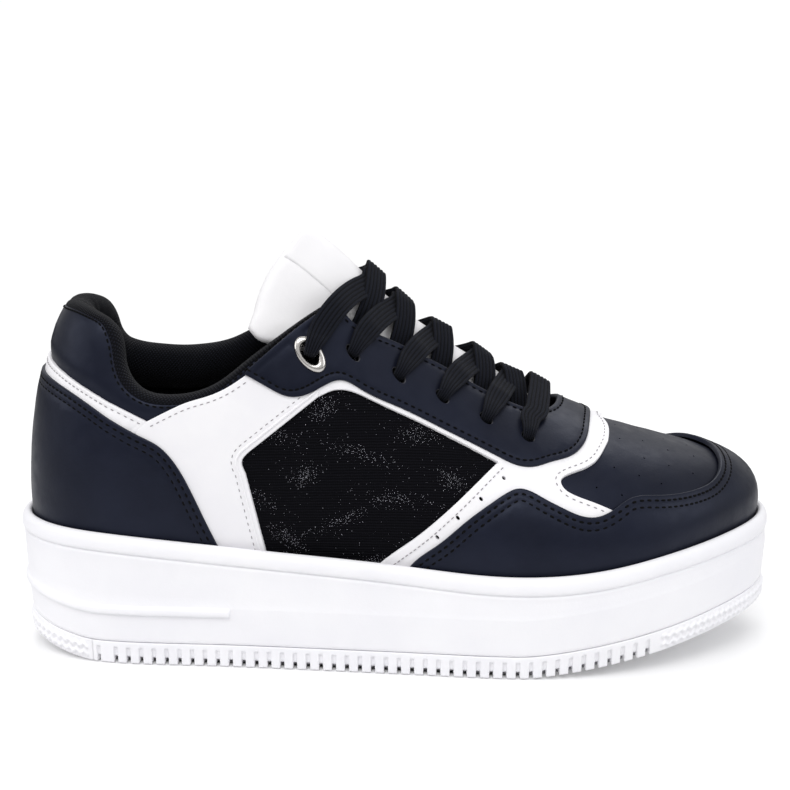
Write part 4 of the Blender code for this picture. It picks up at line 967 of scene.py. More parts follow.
# lower edge of the collar pad, paired point by point with the topline
PADLINE = [(-124, 77), (-117, 70.5), (-110, 62), (-101, 51.5), (-93, 44.5), (-84, 40.5),
           (-74, 38.5), (-63, 39.5), (-54, 43.5), (-48, 49.5), (-43.5, 56), (-39, 61),
           (-32, 63.8), (-23, 64.8), (-12, 64.8), (0, 64.3)]
# the inner side stands higher under the ankle; same chart, carried across by to_side
TOPLINE_IN = [(-131, 88.7), (-124, 83.8), (-116, 77.8), (-103, 69.0), (-94, 63.5), (-85, 60.6),
              (-76, 59.0), (-68, 58.8), (-60.5, 59.4), (-54.5, 61.5), (-50, 66), (-47.5, 71),
              (-43, 75.8), (-34, 78.6), (-17, 79.6), (0, 79.2)]
PADLINE_IN = [(-124, 77), (-117, 71.5), (-110, 64), (-101, 54.5), (-93, 48.5), (-84, 45.5),
              (-75.5, 43.5), (-67, 43.2), (-58, 43.8), (-48, 46.5), (-40, 51.5), (-35, 58),
              (-31, 63), (-25, 65.5), (-14, 65.5), (0, 64.3)]
COLLAR_INSET = 1.3  # leather edge of the collar, below the topline
STAY_INSET = 3.2    # and of the eyestay


def collar_lines(sign):
    """Topline and padline of one side as loop points, front to heel centre."""
    if sign < 0:
        return np.array(TOPLINE, float), np.array(PADLINE, float)
    return tuple(np.array([to_side(q, s, 1) for q, s in line], float)
                 for line in (TOPLINE_IN, PADLINE_IN))


def collar_loop():
    """Topline and padline right round, outer side first."""
    return tuple(np.vstack([one, two[::-1][1:]])
                 for one, two in zip(collar_lines(-1), collar_lines(1)))


def topline_run(inset, sign=-1):
    """Topline moved down into the panels by inset, front to heel centre."""
    pts, low = collar_lines(sign)
    d = low - pts
    d /= np.linalg.norm(d, axis=1)[:, None]
    return smooth([tuple(p) for p in pts + d * inset])


def both_loop(run):
    """A run from the heel centre to the outer side, closed over to the inner side."""
    return [(-q, s) for q, s in reversed(run)][:-1] + list(run)


def mirror_loop(run):
    return [(-q, s) for q, s in reversed(run)]


# --- heel overlay, stripe and collar panel
HEEL_EDGE = [(0, 53.8), (-15, 53.0), (-39, 48.8), (-56, 42.2), (-67, 37.2), (-74, 34.2),
             (-79, 29.5), (-84, 21.3), (-90, 8.5), (-97, MARGIN)]
heel_run = smooth(both_loop(HEEL_EDGE))
panel("heel_overlay", LOOP, chain(heel_run, straight((-97, MARGIN), (97, MARGIN))), 1.2, 2.6,
      black_pu, groove=(2.0, 4.3), puff=0.35, slot="black_leather")
for inset in (2.0, 4.3):
    seams.add("bold", LOOP, heel_run, inset, ON_TOP)

STRIPE_TOP = [(0, 59.3), (-15, 58.1), (-26, 56.3), (-40, 52.7), (-54, 48.3), (-69.8, 42.3)]
STRIPE_END = [(-69.8, 42.3), (-65.8, 37.4), (-60.5, 33.6)]
STRIPE_LOW = [(-60.5, 33.6), (-54, 36.8), (-39, 43.2), (-15, 47.2), (0, 48.0)]
stripe_run = smooth(both_loop(STRIPE_TOP))
lower_run = smooth(STRIPE_LOW + mirror_loop(STRIPE_LOW)[1:])
panel("heel_stripe", LOOP, chain(stripe_run, STRIPE_END, lower_run, mirror_loop(STRIPE_END)), -0.1, 1.5,
      white_pu, groove=(1.7,), slot="white_leather")
seams.add("grey", LOOP, stripe_run, 1.7, 1.45)

# extra height of the inner quarter's top edge
quarter_lift = spline([-140, -120, -95, -75, -60, -45, 0], [0, 1.5, 3.8, 4.9, 3, 0.8, 0])
# upper edge of the stripe and quarter, where they lie over the collar panel
COLLAR_EDGE = [(-112, 63.0), (-105, 62.2), (-98, 57.0), (-91, 53.3), (-84, 50.5), (-77, 46.5),
               (-71.5, 42.2), (-69.8, 42.6), (-54, 48.6), (-40, 53.0), (-26, 56.6), (-15, 58.4), (0, 59.6)]
collar_top = [p for p in topline_run(COLLAR_INSET) if p[0] > -110]
collar_top_in = [p for p in topline_run(COLLAR_INSET, sign=1) if p[0] < 110]
collar_low = smooth([(-112, 61.5), (-104, 56), (-97, 51.5), (-88, 47), (-78, 40), (-66, 36.5),
                     (-54, 38.5), (-39, 44), (-15, 48.5), (0, 49.5)])
top_edge_s = spline([q for q, s in COLLAR_EDGE], [s for q, s in COLLAR_EDGE])


def collar_fullness(uv, dist):
    """Padding shows between the topline and the panels sewn over the lower edge."""
    above = uv[:, 1] - top_edge_s(-np.abs(uv[:, 0]))
    above = above - np.where(uv[:, 0] > 0, quarter_lift(-np.abs(uv[:, 0])), 0.0)
    return 1.7 * np.clip(dist / 8.0, 0, 1) ** 0.6 * np.clip(above / 5.0, 0, 1) ** 0.7


panel("collar_panel", LOOP, chain(collar_top, collar_top_in[::-1],
                                  [(-q, s) for q, s in collar_low], collar_low[::-1]),
      -1.2, collar_fullness, black_pu, roll=0.8, wave=0.10,
      slot="black_leather")

# --- quarters with their textile windows
QUARTER_BACK = [(-69.9, 42.4), (-65.6, 36.8), (-69.5, 29.5), (-76.5, 19.0), (-83, 4.5), (-88, MARGIN)]
QUARTER_TOP = [(-69.9, 42.4), (-77, 46.7), (-84, 50.5), (-91, 53.3), (-98, 57.0), (-105, 62.2)]
WINDOW_LEFT = [(-106.0, 35.4), (-103.2, 31.4), (-104.5, 27.5)]
SEAM_EDGE = -130.4
CLOUDS = 14
FLAKES = 2600
TUBE_SIDES = 10


def carried(points, sign):
    return [to_side(q, s, sign) for q, s in points]


def quarter(sign):
    side_name = HALF_NAMES[sign]
    lift = (lambda q: 0.0) if sign < 0 else (lambda q: float(quarter_lift(-abs(q))))
    top = smooth(QUARTER_TOP)
    under_stay = smooth([(-105, 62.2), (-117, 62), (-125, 65), (SEAM_EDGE, 67.0)])
    window = chain(straight((SEAM_EDGE, 56.8), (-106.0, 35.4)), smooth(WINDOW_LEFT),
                   straight((-104.5, 27.5), (-112.5, MARGIN)), [(-112.5, MARGIN - 1)])[:-1]
    ring = chain(top, under_stay, straight((SEAM_EDGE, 67.0), (SEAM_EDGE, 56.8)), window,
                 straight((-112.5, MARGIN), (-88, MARGIN)),
                 smooth(QUARTER_BACK)[::-1])
    ring = [to_side(q, s + (lift(q) if s > 40 and q > -112 else 0.0), sign) for q, s in ring]
    panel("white_quarter_" + side_name, LOOP, ring, -0.1, 1.5, white_pu, puff=0.2,
          slot="white_leather")
    top_edge = [to_side(q, s + (lift(q) if q > -112 else 0.0), sign) for q, s in top]
    seams.add("grey", LOOP, top_edge, -sign * 2.0, ON_MIDDLE)
    edge = carried(window, sign)
    seams.add("grey", LOOP, edge, -sign * 3.6, ON_MIDDLE)
    welt = offset_run(edge, -sign * 1.9)
    start = welt[0] + unit(welt[0] - welt[3]) * 2.6     # the welt's end tucks under the strip
    welt = np.vstack([straight(start, welt[0])[:-1], welt])
    tube("window_welt_" + side_name, LOOP, welt, 1.55, 0.55, white_pu, slot="white_leather")

    ring = chain(smooth([(-107, -5.5), (-99.5, 24), (-99, 31), (-102.5, 37), (-128, 60.5)]),
                 smooth([(-128, 60.5), (-136, 64.6), (-145, 64.8), (-159, 60.3)]),
                 straight((-159, 60.3), (-197, 44.5)),
                 straight((-197, 44.5), (-150.5, -5.5)),
                 straight((-150.5, -5.5), (-107, -5.5)))
    ring = carried(ring, sign)
    panel("glitter_panel_" + side_name, LOOP, ring, -1.2, 0.1, knit, step=0.75, wave=0.12,
          relief=knit_relief, slot="glitter_textile_" + side_name)
    sprinkle("glitter_flakes_" + side_name, ring, sign)


def knit_relief(uv):
    """Courses of the knit, slightly wavy."""
    u, v = uv.T
    bend = 0.9 * np.sin(u / 7.0) * np.sin(v / 9.0 + 1.0) + 0.3 * u
    return 0.12 * np.sin(2 * math.pi * (v + 0.35 * bend) / 2.1)


def tube(name, chart, run, height, radius, mat, **where):
    """A thin round bead lying along a run on the surface."""
    pts = np.asarray(run, float)
    fn, flip = chart
    p, n = place(fn, pts[:, 0], pts[:, 1], height, flip)
    t = np.gradient(p, axis=0)
    t /= np.linalg.norm(t, axis=1)[:, None]
    w = np.cross(n, t)
    thin = np.minimum(1, np.minimum(np.arange(len(p)), np.arange(len(p))[::-1]) / 3 + 0.15)[:, None]
    rings = [p + radius * thin * (w * math.cos(a) + n * math.sin(a))
             for a in np.arange(TUBE_SIDES) * 2 * math.pi / TUBE_SIDES]
    return build(name, np.vstack(rings), sweep_faces(TUBE_SIDES, len(p)), mat, **where)


def sweep_faces(sides, count):
    """Faces of a capped sweep stored side by side: vertex = side * count + station."""
    faces = []
    for j in range(sides):
        k = (j + 1) % sides
        faces += [(j * count + i, j * count + i + 1, k * count + i + 1, k * count + i)
                  for i in range(count - 1)]
    faces.append(tuple(j * count for j in range(sides)))
    faces.append(tuple(j * count + count - 1 for j in reversed(range(sides))))
    return faces


def sprinkle(name, ring, sign):
    """Tiny tilted silver flakes gathered in loose drifts over the knit."""
    ring = np.asarray(ring, float)
    lo = ring.min(0) + 4
    hi = ring.max(0) - 4
    pts = []
    for k in range(CLOUDS):
        # even but irregular spread over the panel: golden-ratio steps
        centre = lo + (hi - lo) * np.array([(k + 0.5) / CLOUDS, (0.3 + k * 0.618) % 1.0])
        lean = RNG.uniform(-0.7, 0.5)
        spread = np.array([RNG.uniform(3.0, 7.5), RNG.uniform(1.2, 2.2)])
        drift = RNG.normal(size=(FLAKES // CLOUDS, 2)) * spread
        turn = np.array([[math.cos(lean), -math.sin(lean)], [math.sin(lean), math.cos(lean)]])
        pts.append(centre + drift @ turn.T)
    pts = np.vstack(pts + [lo + (hi - lo) * RNG.random((FLAKES // 8, 2))])
    pts = pts[inside(pts, [ring])]
    p, n = place(loop_point, pts[:, 0], pts[:, 1], 0.32 + 0.1 * RNG.random(len(pts)), -1.0)
    tilt = n + 0.55 * RNG.normal(size=n.shape)
    tilt /= np.linalg.norm(tilt, axis=1)[:, None]
    a = np.cross(tilt, RNG.normal(size=n.shape))
    a /= np.linalg.norm(a, axis=1)[:, None]
    b = np.cross(tilt, a)
    size = RNG.uniform(0.06, 0.16, len(p))[:, None]
    corners = [p + size * (a * math.cos(w) + b * math.sin(w)) for w in np.arange(5) * 2 * math.pi / 5]
    under = p - tilt * 0.06
    verts = np.stack(corners + [under], axis=1).reshape(-1, 3)
    faces = []
    for m in range(len(p)):
        faces.append(tuple(m * 6 + k for k in range(5)))
        faces += [(m * 6 + (k + 1) % 5, m * 6 + k, m * 6 + 5) for k in range(5)]
    build(name, verts, faces, flake, slot="glitter_textile_" + HALF_NAMES[sign])


quarter(-1)
quarter(1)

# --- white saddle: front cross piece with a diagonal strip down each side
SADDLE_FRONT = [(75, 20.2), (68, 24.3), (61, 28.0), (57.8, 31.0), (57.3, 33.6), (60, 35.8),
                (66, 37.8), (70.3, 40.5), (73.2, 44.8), (75.8, 50.5)]
SADDLE_FOOT = [(75, 20.2), (74, 14.5), (66, 12.5), (58, 15.5), (49, 21.5), (42, 23.5), (36, 19.5),
               (26, 9.0), (15, MARGIN)]
SADDLE_WINDOW = [(-10.8, MARGIN), (-4.4, 0.9), (5.5, 9.7), (15.2, 19.0), (25.1, 29.2), (35.1, 40.3)]
# lower and upper edge of the strip above the window
STRIP_LOW = [(35.1, 40.3), (28.7, 43.2), (21.6, 46.2), (14.6, 48.8), (7.5, 51.3), (0.4, 53.6),
             (-10.0, 57.3), (-17, 59.5), (-22, 59.4), (-27.6, 56.6)]
STRIP_HIGH = [(-27.6, 57.6), (-28.0, 67.0), (-17, 66.2), (-1, 61.2), (15, 56.8), (31, 51.5),
              (40, 46.5), (46, 46), (54, 50), (60, 58)]
STRIP_HOLES = [(37, 34.3), (29, 26.4), (21, 19.3), (14, 11.8)]
VENT_R = 0.72
PIN_R = 0.34


def saddle_half(sign):
    """One side's outline, and the front and window edges that are stitched."""
    front = side_run(SADDLE_FRONT, sign)
    foot = side_run(SADDLE_FOOT, sign)
    bottom = [side(x, MARGIN, sign) for x in (15, 8, 0, -8.8)]
    window = side_run(SADDLE_WINDOW, sign)
    rest = side_run(STRIP_LOW, sign) + side_run(STRIP_HIGH, sign)
    return chain(front[::-1], foot, bottom, window, rest), front, window


halves = []
for sign in (-1, 1):
    half, front, window = saddle_half(sign)
    halves.append(half)
    seams.add("grey", CROWN, front, -sign * 1.8, ON_MIDDLE)
    seams.add("grey", CROWN, window, sign * 2.3, ON_MIDDLE)
left, right = halves
over_front = smooth([right[0], (77.0, 8), (76.0, 0), (77.0, -8), left[0]])
seams.add("grey", CROWN, over_front, -1.8, ON_MIDDLE)
over_back = smooth([left[-1], (64.5, -8), (65.5, 0), (64.5, 8), right[-1]])
strip_vents = [circle(side(x, s, sign), VENT_R, 12) for sign in (-1, 1) for x, s in STRIP_HOLES]
panel("white_saddle", CROWN, chain(left, over_back, right[::-1], over_front), -0.1, 1.5,
      white_pu, roll=0.4, holes=strip_vents, slot="white_leather")

# --- vamp (toe box), under the saddle and the toe guard
VAMP_BACK = [(47, MARGIN), (49, 14), (53, 28), (58, 42), (64, 56)]
VAMP_VENTS = [(70, -35), (79, -35), (77, -27), (86, -27), (94, -27), (89, -18), (98, -18), (107, -17),
              (81, -10), (90, -6), (99, -8), (109, -6), (99, 3), (108, 4), (81, 4), (90, 9), (99, 15),
              (108, 14), (89, 21), (98, 25), (79, 31), (86, 33)]


def toe_rim(x_from, sign):
    """Lower edge of a toe piece, tucked inside the rim, from a side round to the tip."""
    out = []
    q0 = Q1 + x_from - HEEL_X
    for a in np.linspace(q0, Q3, int((Q3 - q0) / FINE) + 1):
        g = float(girth(sign * a)[0]) - MARGIN
        turn = np.clip((a - Q2) / (Q3 - Q2), 0, 1) * math.pi / 2
        out.append((min(HEEL_X + a - Q1, TOE_X) + g * math.sin(turn), sign * g * math.cos(turn)))
    return out


def toe_piece(back_points, crest):
    """Outline over the toe, from a back edge given on one side and its crest."""
    lat, med = (side_run(back_points, sign) for sign in (-1, 1))
    rim = toe_rim(back_points[0][0], -1) + toe_rim(back_points[0][0], 1)[::-1]
    return chain(rim, med, smooth([lat[-1], (crest, 0), med[-1]])[::-1], lat[::-1])


def plan_to_crown(x, y):
    """Crown chart point whose surface point lies over a plan position."""
    a = x
    b = y - TOE_Y
    for _ in range(12):
        p = crown_point(a, b)[0]
        a += 0.8 * (x - p[0])
        b += 0.8 * (y - p[1])
    return a, b


vamp_holes = [circle(plan_to_crown(x, y), PIN_R, 10) for x, y in VAMP_VENTS]
panel("vamp", CROWN, toe_piece(VAMP_BACK, 69.0), -1.2, 0.15, black_pu, wave=0.1, roll=0.3,
      holes=vamp_holes, slot="black_leather")

# --- toe guard
guard_side = [(2, -5.5), (5, 0.5), (14, 9), (24, 18.4), (33, 25.4), (38, 28.8), (42, 30.4), (46, 29.6),
              (51, 26.8), (58, 22.8), (63, 20.2), (69, 18.8), (75, 20.2)]
GUARD_FRONT = [(81, 22.8), (91, 21.4)]
GUARD_TOE = [(55, 18.4), (41, 18.6), (29, 21.0), (18, 24.5), (6, 28.0), (-12, 30.5), (-24, 31.5),
             (-38, 29.5), (-55, 25.5), (-75, 22.0), (-85, 22.8)]
guard_run = [(-(Q3 + loop_q(x)), s) for x, s in guard_side + GUARD_FRONT]
guard_run += [(-w, s) for w, s in GUARD_TOE]
guard_run += [(Q3 + loop_q(x), s) for x, s in reversed(guard_side)]
guard_run = smooth(guard_run)
panel("toe_guard", TOE, chain(guard_run, straight((guard_run[-1][0], MARGIN),
                                                  (guard_run[0][0], MARGIN))), 1.0, 2.6,
      black_pu, groove=(2.0, 4.3), puff=0.25, slot="black_leather")
for inset in (2.0, 4.3):
    seams.add("bold", TOE, guard_run, -inset, ON_TOP)

# --- eyestay: one U-shaped piece with punched eyelets
STAY_LOW = [(-53.5, 62.5), (-45, 58.4), (-38, 55.9), (-33, 56.6), (-26, 60.5), (-20, 62.9),
            (-13, 60.1), (0, 55.4), (14, 50.5), (28, 45.3), (35.5, 42.0), (42.5, 39.2), (48, 39.0),
            (54.6, 41.1), (62, 43.6), (66.6, 49.0), (69, 58)]
THROAT = [(-19.5, 87.0), (-17, 84.3), (-8, 81.3), (0, 79.5), (9, 77.2), (17, 75.0), (24, 72.4),
          (31, 70.0), (40, 67.2), (47, 65.6)]


def hole_at(k, sign):
    return side(*EYELETS[k], sign)


def hole_radius(k):
    return RING_HOLE_R if k == 0 else HOLE_R


def stay_half(sign):
    low = side_run(STAY_LOW, sign)
    tops = [to_crown(q, s) for q, s in topline_run(STAY_INSET, sign)]
    rear = sorted(p for p in tops if -53.0 < p[0] < -24.5)
    throat = side_run(THROAT, sign)
    return low, rear, throat


low_l, rear_l, throat_l = stay_half(-1)
low_m, rear_m, throat_m = stay_half(1)
front_over = smooth([low_l[-1], (70.6, -6), (71, 0), (70.6, 6), low_m[-1]])
throat_over = smooth([throat_l[-1], (54.0, -13), (57.8, -5), (57.8, 5), (54.0, 13), throat_m[-1]])
stay_ring = chain(low_l, front_over, low_m[::-1], rear_m, throat_m,
                  throat_over[::-1], throat_l[::-1], rear_l[::-1])
stay_holes = [circle(hole_at(k, sign), hole_radius(k), 28) for sign in (-1, 1) for k in range(6)]
panel("eyestay", CROWN, stay_ring, 1.1, 2.6, black_pu, groove=(2.1,), holes=stay_holes, wave=0.08,
      slot="black_leather")
stay_low = chain(low_l, front_over, low_m[::-1])
seams.add("black", CROWN, stay_low, 2.1, ON_TOP)
throat_edge = chain(throat_m, throat_over[::-1], throat_l[::-1])
seams.add("black", CROWN, throat_edge, 2.1, ON_TOP)


def hoop(centre, profile):
    """A turned ring standing on the upper, from (radius, height) points."""
    rings = []
    count = HOOP_SIDES
    for r, d in profile:
        pts = np.array(circle(centre, r, count))
        rings.append(place(crown_point, pts[:, 0], pts[:, 1], d, 1.0)[0])
    faces = []
    for j in range(len(profile)):
        k = (j + 1) % len(profile)
        faces += [(j * count + i, j * count + (i + 1) % count, k * count + (i + 1) % count, k * count + i)
                  for i in range(count)]
    return np.vstack(rings), faces


HOOP_SIDES = 48
RING_PROFILE = [(3.0, -2.2), (3.35, -2.2), (3.35, 2.7), (5.25, 2.7), (5.45, 2.85), (5.35, 3.15),
                (4.9, 3.55), (4.3, 3.78), (3.7, 3.72), (3.2, 3.4), (3.0, 2.9)]
PUNCH_PROFILE = [(2.25, 0.9), (2.6, 0.9), (2.6, 2.2), (2.5, 2.35), (2.35, 2.3), (2.25, 2.1)]
for sign, half_name in HALF_NAMES.items():
    build("eyelet_ring_" + half_name, *hoop(hole_at(0, sign), RING_PROFILE), steel,
          slot="eyelet_metal")
    build("punched_edges_" + half_name,
          *join([hoop(hole_at(k, sign), PUNCH_PROFILE) for k in range(1, 6)]), cut_edge,
          slot="black_leather")

# --- linings
panel("vamp_lining", CROWN, toe_piece([(60, MARGIN), (61, 20), (62, 40), (64, 56)], 67.0),
      -3.2, -2.4, lining, step=4.0, slot="vamp_lining")
pad_low = smooth([(q, s - 0.8) for q, s in PADLINE])
pad_med = smooth([(q, s - 0.8) for q, s in collar_lines(1)[1]])
throat_in = [(loop_q(x), s - 1.5 - max(0, x) * 0.045) for x, s in smooth(THROAT) if x > -19.0]
LINING_END = 57.0
front_edge = smooth([(loop_q(47), 61.9), (loop_q(52), 58), (loop_q(55), 45), (loop_q(LINING_END), 20),
                     (loop_q(LINING_END), MARGIN)])
REAR_LIP = [(-131.5, 84.0), (-128.0, 80.5)]
half_out = chain(front_edge[::-1], throat_in[::-1], REAR_LIP, pad_low)
half_in = chain(carried(reversed(front_edge), 1), carried(reversed(throat_in), 1),
                carried(REAR_LIP, 1), pad_med)
span = straight((-loop_q(LINING_END), MARGIN), (loop_q(LINING_END), MARGIN), 4.0)
lining_holes = [circle(to_side(loop_q(x), s, sign), hole_radius(k) + 0.4, 16)
                for sign in (-1, 1) for k, (x, s) in enumerate(EYELETS)]
panel("quarter_lining", LOOP, chain(half_out, half_in[::-1], span), -3.2, -2.4, lining,
      step=4.0, holes=lining_holes, slot="quarter_lining")


# ---------------------------------------------------------------- padded collar

PAD_SECTION = [(3.9, -1.4), (3.0, -0.6), (1.3, 0.15), (-0.3, -0.3), (-1.4, -1.8), (-1.9, -4.0),
               (-1.5, -6.6), (-0.2, -8.7), (2.2, -10.1), (6.0, -10.5), (10.0, -9.6), (14.0, -7.6),
               (16.4, -5.6), (15.0, -3.6), (9.0, -2.4)]


def collar_pad():
    """Foam roll swept along the topline, thinner at its front ends, with soft pulls."""
    top, low = collar_loop()
    t = np.concatenate([[0], np.cumsum(np.hypot(*np.diff(top, axis=0).T))])
    curves = [spline(t, c) for c in (top[:, 0], top[:, 1], low[:, 0], low[:, 1])]
    ts = np.linspace(0, t[-1], int(t[-1] / 1.3))
    tq, tss, lq, ls = (c(ts) for c in curves)
    full = np.hypot(lq - tq, ls - tss)
    from_end = np.minimum(ts, t[-1] - ts)
    thin = np.interp(from_end, [0, 22, 50], [0.34, 0.36, 1.0])
    section_run = smooth(PAD_SECTION, 0.9, closed=True)
    pulls = 0.16 * np.sin(ts / 2.9) + 0.12 * np.sin(ts / 4.7 + 1.0) + 0.1 * np.sin(ts / 1.7)
    rings = []
    uvs = []
    arc = 0.0
    last = section_run[-1]
    for u, d in section_run:
        arc += math.dist(last, (u, d))
        last = (u, d)
        k = u / 16.0 if u > 0 else u / full
        depth = np.where(d < -1.2, -1.2 + (d + 1.2) * thin, d)
        inner = np.clip((-2.0 - d) / 4.0, 0, 1)
        depth = depth + pulls * inner * thin
        rings.append(place(loop_point, tq + (lq - tq) * k, tss + (ls - tss) * k, depth, -1.0)[0])
        uvs.append(np.column_stack([ts, np.full(len(ts), arc)]))
    return build("collar_pad", np.vstack(rings), sweep_faces(len(rings), len(ts)), lining,
                 uv=np.vstack(uvs), nodes=["collar_lining", "collar_foam"], slot="collar_lining")


collar_pad()
for sign in (-1, 1):
    seams.add("black", LOOP, topline_run(COLLAR_INSET + 1.1, sign), 0.0, 0.75)


# ---------------------------------------------------------------- tongue

tongue_drop = spline([-60, -36, -15, 70], [-8.2, -8.0, -7.4, -7.2])
throat_b = spline([-60, -20, -8, 0, 9, 17, 31, 47, 60], [44, 31, 27, 24, 21.5, 20.5, 20.5, 20.5, 20.5])
dome = spline([-60, -20, 0, 30, 44, 54, 66], [0.0, 0.0, 0.2, 0.6, 1.6, 4.8, 7.2])


def tongue_point(a, b):
    """Tongue surface: under the eyestay it follows the lining, between it domes up."""
    a = np.atleast_1d(np.asarray(a, float))
    b = np.broadcast_to(np.asarray(b, float), a.shape)
    drop = tongue_drop(a)
    lim = throat_b(a) + 2.0
    mag = np.abs(b)
    sign = np.where(b < 0, -1.0, 1.0)
    flat, _ = place(crown_point, a, sign * np.maximum(mag, lim), drop, 1.0)
    e0, _ = place(crown_point, a, -lim, drop, 1.0)
    e1, _ = place(crown_point, a, lim, drop, 1.0)
    c = np.column_stack([a, spine_y(a), crest_z(a) - 0.6 - dome(a)])
    c[:, 0] += (e0[:, 0] + e1[:, 0]) / 2 - a
    m = (4 * c - e0 - e1) / 2
    t = (np.clip(b / lim, -1, 1) + 1)[:, None] / 2
    bez = (1 - t) ** 2 * e0 + 2 * t * (1 - t) * m + t * t * e1
    return np.where((mag > lim)[:, None], flat, bez)


TONGUE = (tongue_point, 1.0)
HALF_TONGUE = [(62, -24), (52, -29.5), (30, -33), (5, -36.5), (-20, -45), (-40, -51.5), (-50, -53),
               (-53, -50)]
TONGUE_END = [(-53, -50), (-49.0, -39), (-40.0, -24), (-33.4, -9), (-32.3, 0), (-33.4, 9), (-40.0, 24),
              (-49.0, 39), (-53, 50)]
LABEL_FRONT = -10.0
LABEL_HALF = 25.0
LABEL_END = [(-39.2, -LABEL_HALF), (-33.0, -9), (-31.8, 0), (-33.0, 9), (-39.2, LABEL_HALF)]

tongue_side = smooth(HALF_TONGUE)
tongue_end = smooth(TONGUE_END)
tongue_ring = chain(tongue_side, tongue_end, [(u, -v) for u, v in reversed(tongue_side)],
                    straight((62, 24), (62, -24)))
panel("tongue_body", TONGUE, tongue_ring, -3.6, 0.35, tongue_pu, step=2.0, roll=2.4, puff=0.5,
      wave=0.22, body="tongue", nodes=["tongue_outer", "tongue_foam"], slot="tongue_leather")
panel("tongue_back", TONGUE, tongue_ring, lambda uv, d: -3.4 - 2.9 * np.clip(d / 8.0, 0, 1) ** 0.5,
      -3.2, lining, step=3.0, body="tongue", nodes=["tongue_lining"], slot="tongue_lining")
label_ring = chain(straight((LABEL_FRONT, LABEL_HALF), (LABEL_FRONT, -LABEL_HALF)),
                   straight((LABEL_FRONT, -LABEL_HALF), LABEL_END[0]), smooth(LABEL_END),
                   straight(LABEL_END[-1], (LABEL_FRONT, LABEL_HALF)))
panel("tongue_label", TONGUE, label_ring, 0.2, 1.5, tongue_pu, step=2.0, roll=0.9, wave=0.15,
      body="tongue", slot="tongue_label")

# ---------------------------------------------------------------- lace


def on(chart, a, b, d):
    """One point at a height over a chart, and the normal there."""
    p, n = place(chart, np.array([a]), np.array([b]), d, 1.0)
    return p[0], n[0]


SWEEP = [13.0, 8.5, 7.0, 7.0, 3.5]
throat_s = spline([x for x, s in THROAT], [s for x, s in THROAT])


def run_point(k_out, sign, t):
    """Chart point on the run from eyelet k_out (outside) to the next one across (under)."""
    a0, b0 = hole_at(k_out, sign)
    a1, b1 = hole_at(k_out + 1, -sign)
    sweep = SWEEP[k_out] * ((2 * t) ** 1.45 if t < 0.5 else 1 - (2 * t - 1) ** 2)
    return a0 + (a1 - a0) * t + sweep, b0 + (b1 - b0) * t


def edge_b(a, sign):
    """Girth distance from the crest to the eyestay's inner edge, on one side."""
    return abs(side(a, float(throat_s(a)), sign)[1])


STAY_D = 4.2        # lace centre over the eyestay
UNDER_D = -4.9      # lace centre beneath it
CREST_D = {False: 2.3, True: 4.2}       # lace centre over the tongue: lower and upper run
SAG = 1.1           # a taut run cuts across the curve of the instep
LACE_WIDE = 8.8
LACE_THICK = 1.6
LACE_SIDES = 72


def run_height(a, b, sign, high):
    """Height of a taut run: over the near edge and the tongue's crest, under the far edge."""
    crest = CREST_D[high] - 0.6 - float(dome(a))
    edge = edge_b(a, 1 if b > 0 else -1)
    if (b < 0) == (sign < 0):
        s = max(0.0, 1 - abs(b) / (edge - 1.5))
        return STAY_D + (crest - STAY_D) * s - SAG * 4 * s * (1 - s)
    return crest - (crest - UNDER_D) * min(abs(b) / edge, 1.0) ** 2


def laid(spot, steps):
    """Stations (centre, normal, width, thickness) over the eyestay; spot turns a shift into (a, b)."""
    return [(*on(crown_point, *spot(shift), d), w, t) for shift, d, w, t in steps]


def run_rows(k_out, sign, high):
    """One lace run: out of the eyelet, over the tongue, under the far eyestay edge."""
    raised = 1.2 if k_out == 0 else 0.0
    span = abs(hole_at(k_out, sign)[1]) + abs(hole_at(k_out + 1, -sign)[1])
    rows = laid(lambda shift: run_point(k_out, sign, shift / span),
                [(0.0, -2.4, 3.4, 2.2), (0.0, 1.4, 3.8, 2.2), (1.0, 3.9 + raised, 4.6, 2.0),
                 (4.2, 4.4 + raised, 6.6, 1.8), (8.4, 4.2 + raised / 3, 8.2, 1.6)])
    for t in np.linspace(12.0 / span, 1 - 10.0 / span, 19):
        a, b = run_point(k_out, sign, t)
        rows.append((*on(crown_point, a, b, run_height(a, b, sign, high)), LACE_WIDE, LACE_THICK))
    return rows + laid(lambda shift: run_point(k_out, sign, 1 - shift / span),
                       [(6.5, -5.0, 6.4, 1.0), (2.0, -4.8, 3.8, 1.4), (0.0, -3.0, 3.0, 2.0)])


def bar_rows(sign):
    """Half of the straight run outside across the front pair of eyelets."""
    a, b = hole_at(5, sign)
    rows = laid(lambda shift: (a + 0.1 * shift, b - sign * shift),
                [(0.0, -2.4, 3.2, 2.2), (0.0, 1.4, 3.4, 2.2), (1.0, 4.1, 4.2, 2.0), (4.2, 4.5, 6.4, 1.7),
                 (8.2, 4.5, 8.2, 1.6)])
    for t in (0.19, 0.28, 0.37, 0.44, 0.5):
        spot = (a + 4.6 * (1 - (2 * t - 1) ** 2), b * (1 - 2 * t))
        higher = max(on(crown_point, *spot, 4.4), on(tongue_point, *spot, 2.2), key=lambda pn: pn[0][2])
        rows.append((*higher, LACE_WIDE, LACE_THICK))
    return rows


def tail(sign, steps):
    """Free end inside the shoe, lying down the lining below the top eyelet."""
    a, b = hole_at(0, sign)
    return laid(lambda shift: (a - 0.25 * shift, b + sign * shift), steps)


TAIL = [(26, -6.6, 3.0, 2.2), (18, -6.2, 6.4, 1.1), (10, -6.2, 6.0, 1.1), (4, -6.3, 4.0, 1.4),
        (0.6, -5.2, 3.0, 1.9)]
TIP = [(26.8, -6.6, 2.6, 2.4), (28, -6.6, 2.6, 2.4), (33, -6.6, 2.6, 2.4), (41, -6.6, 2.6, 2.4)]


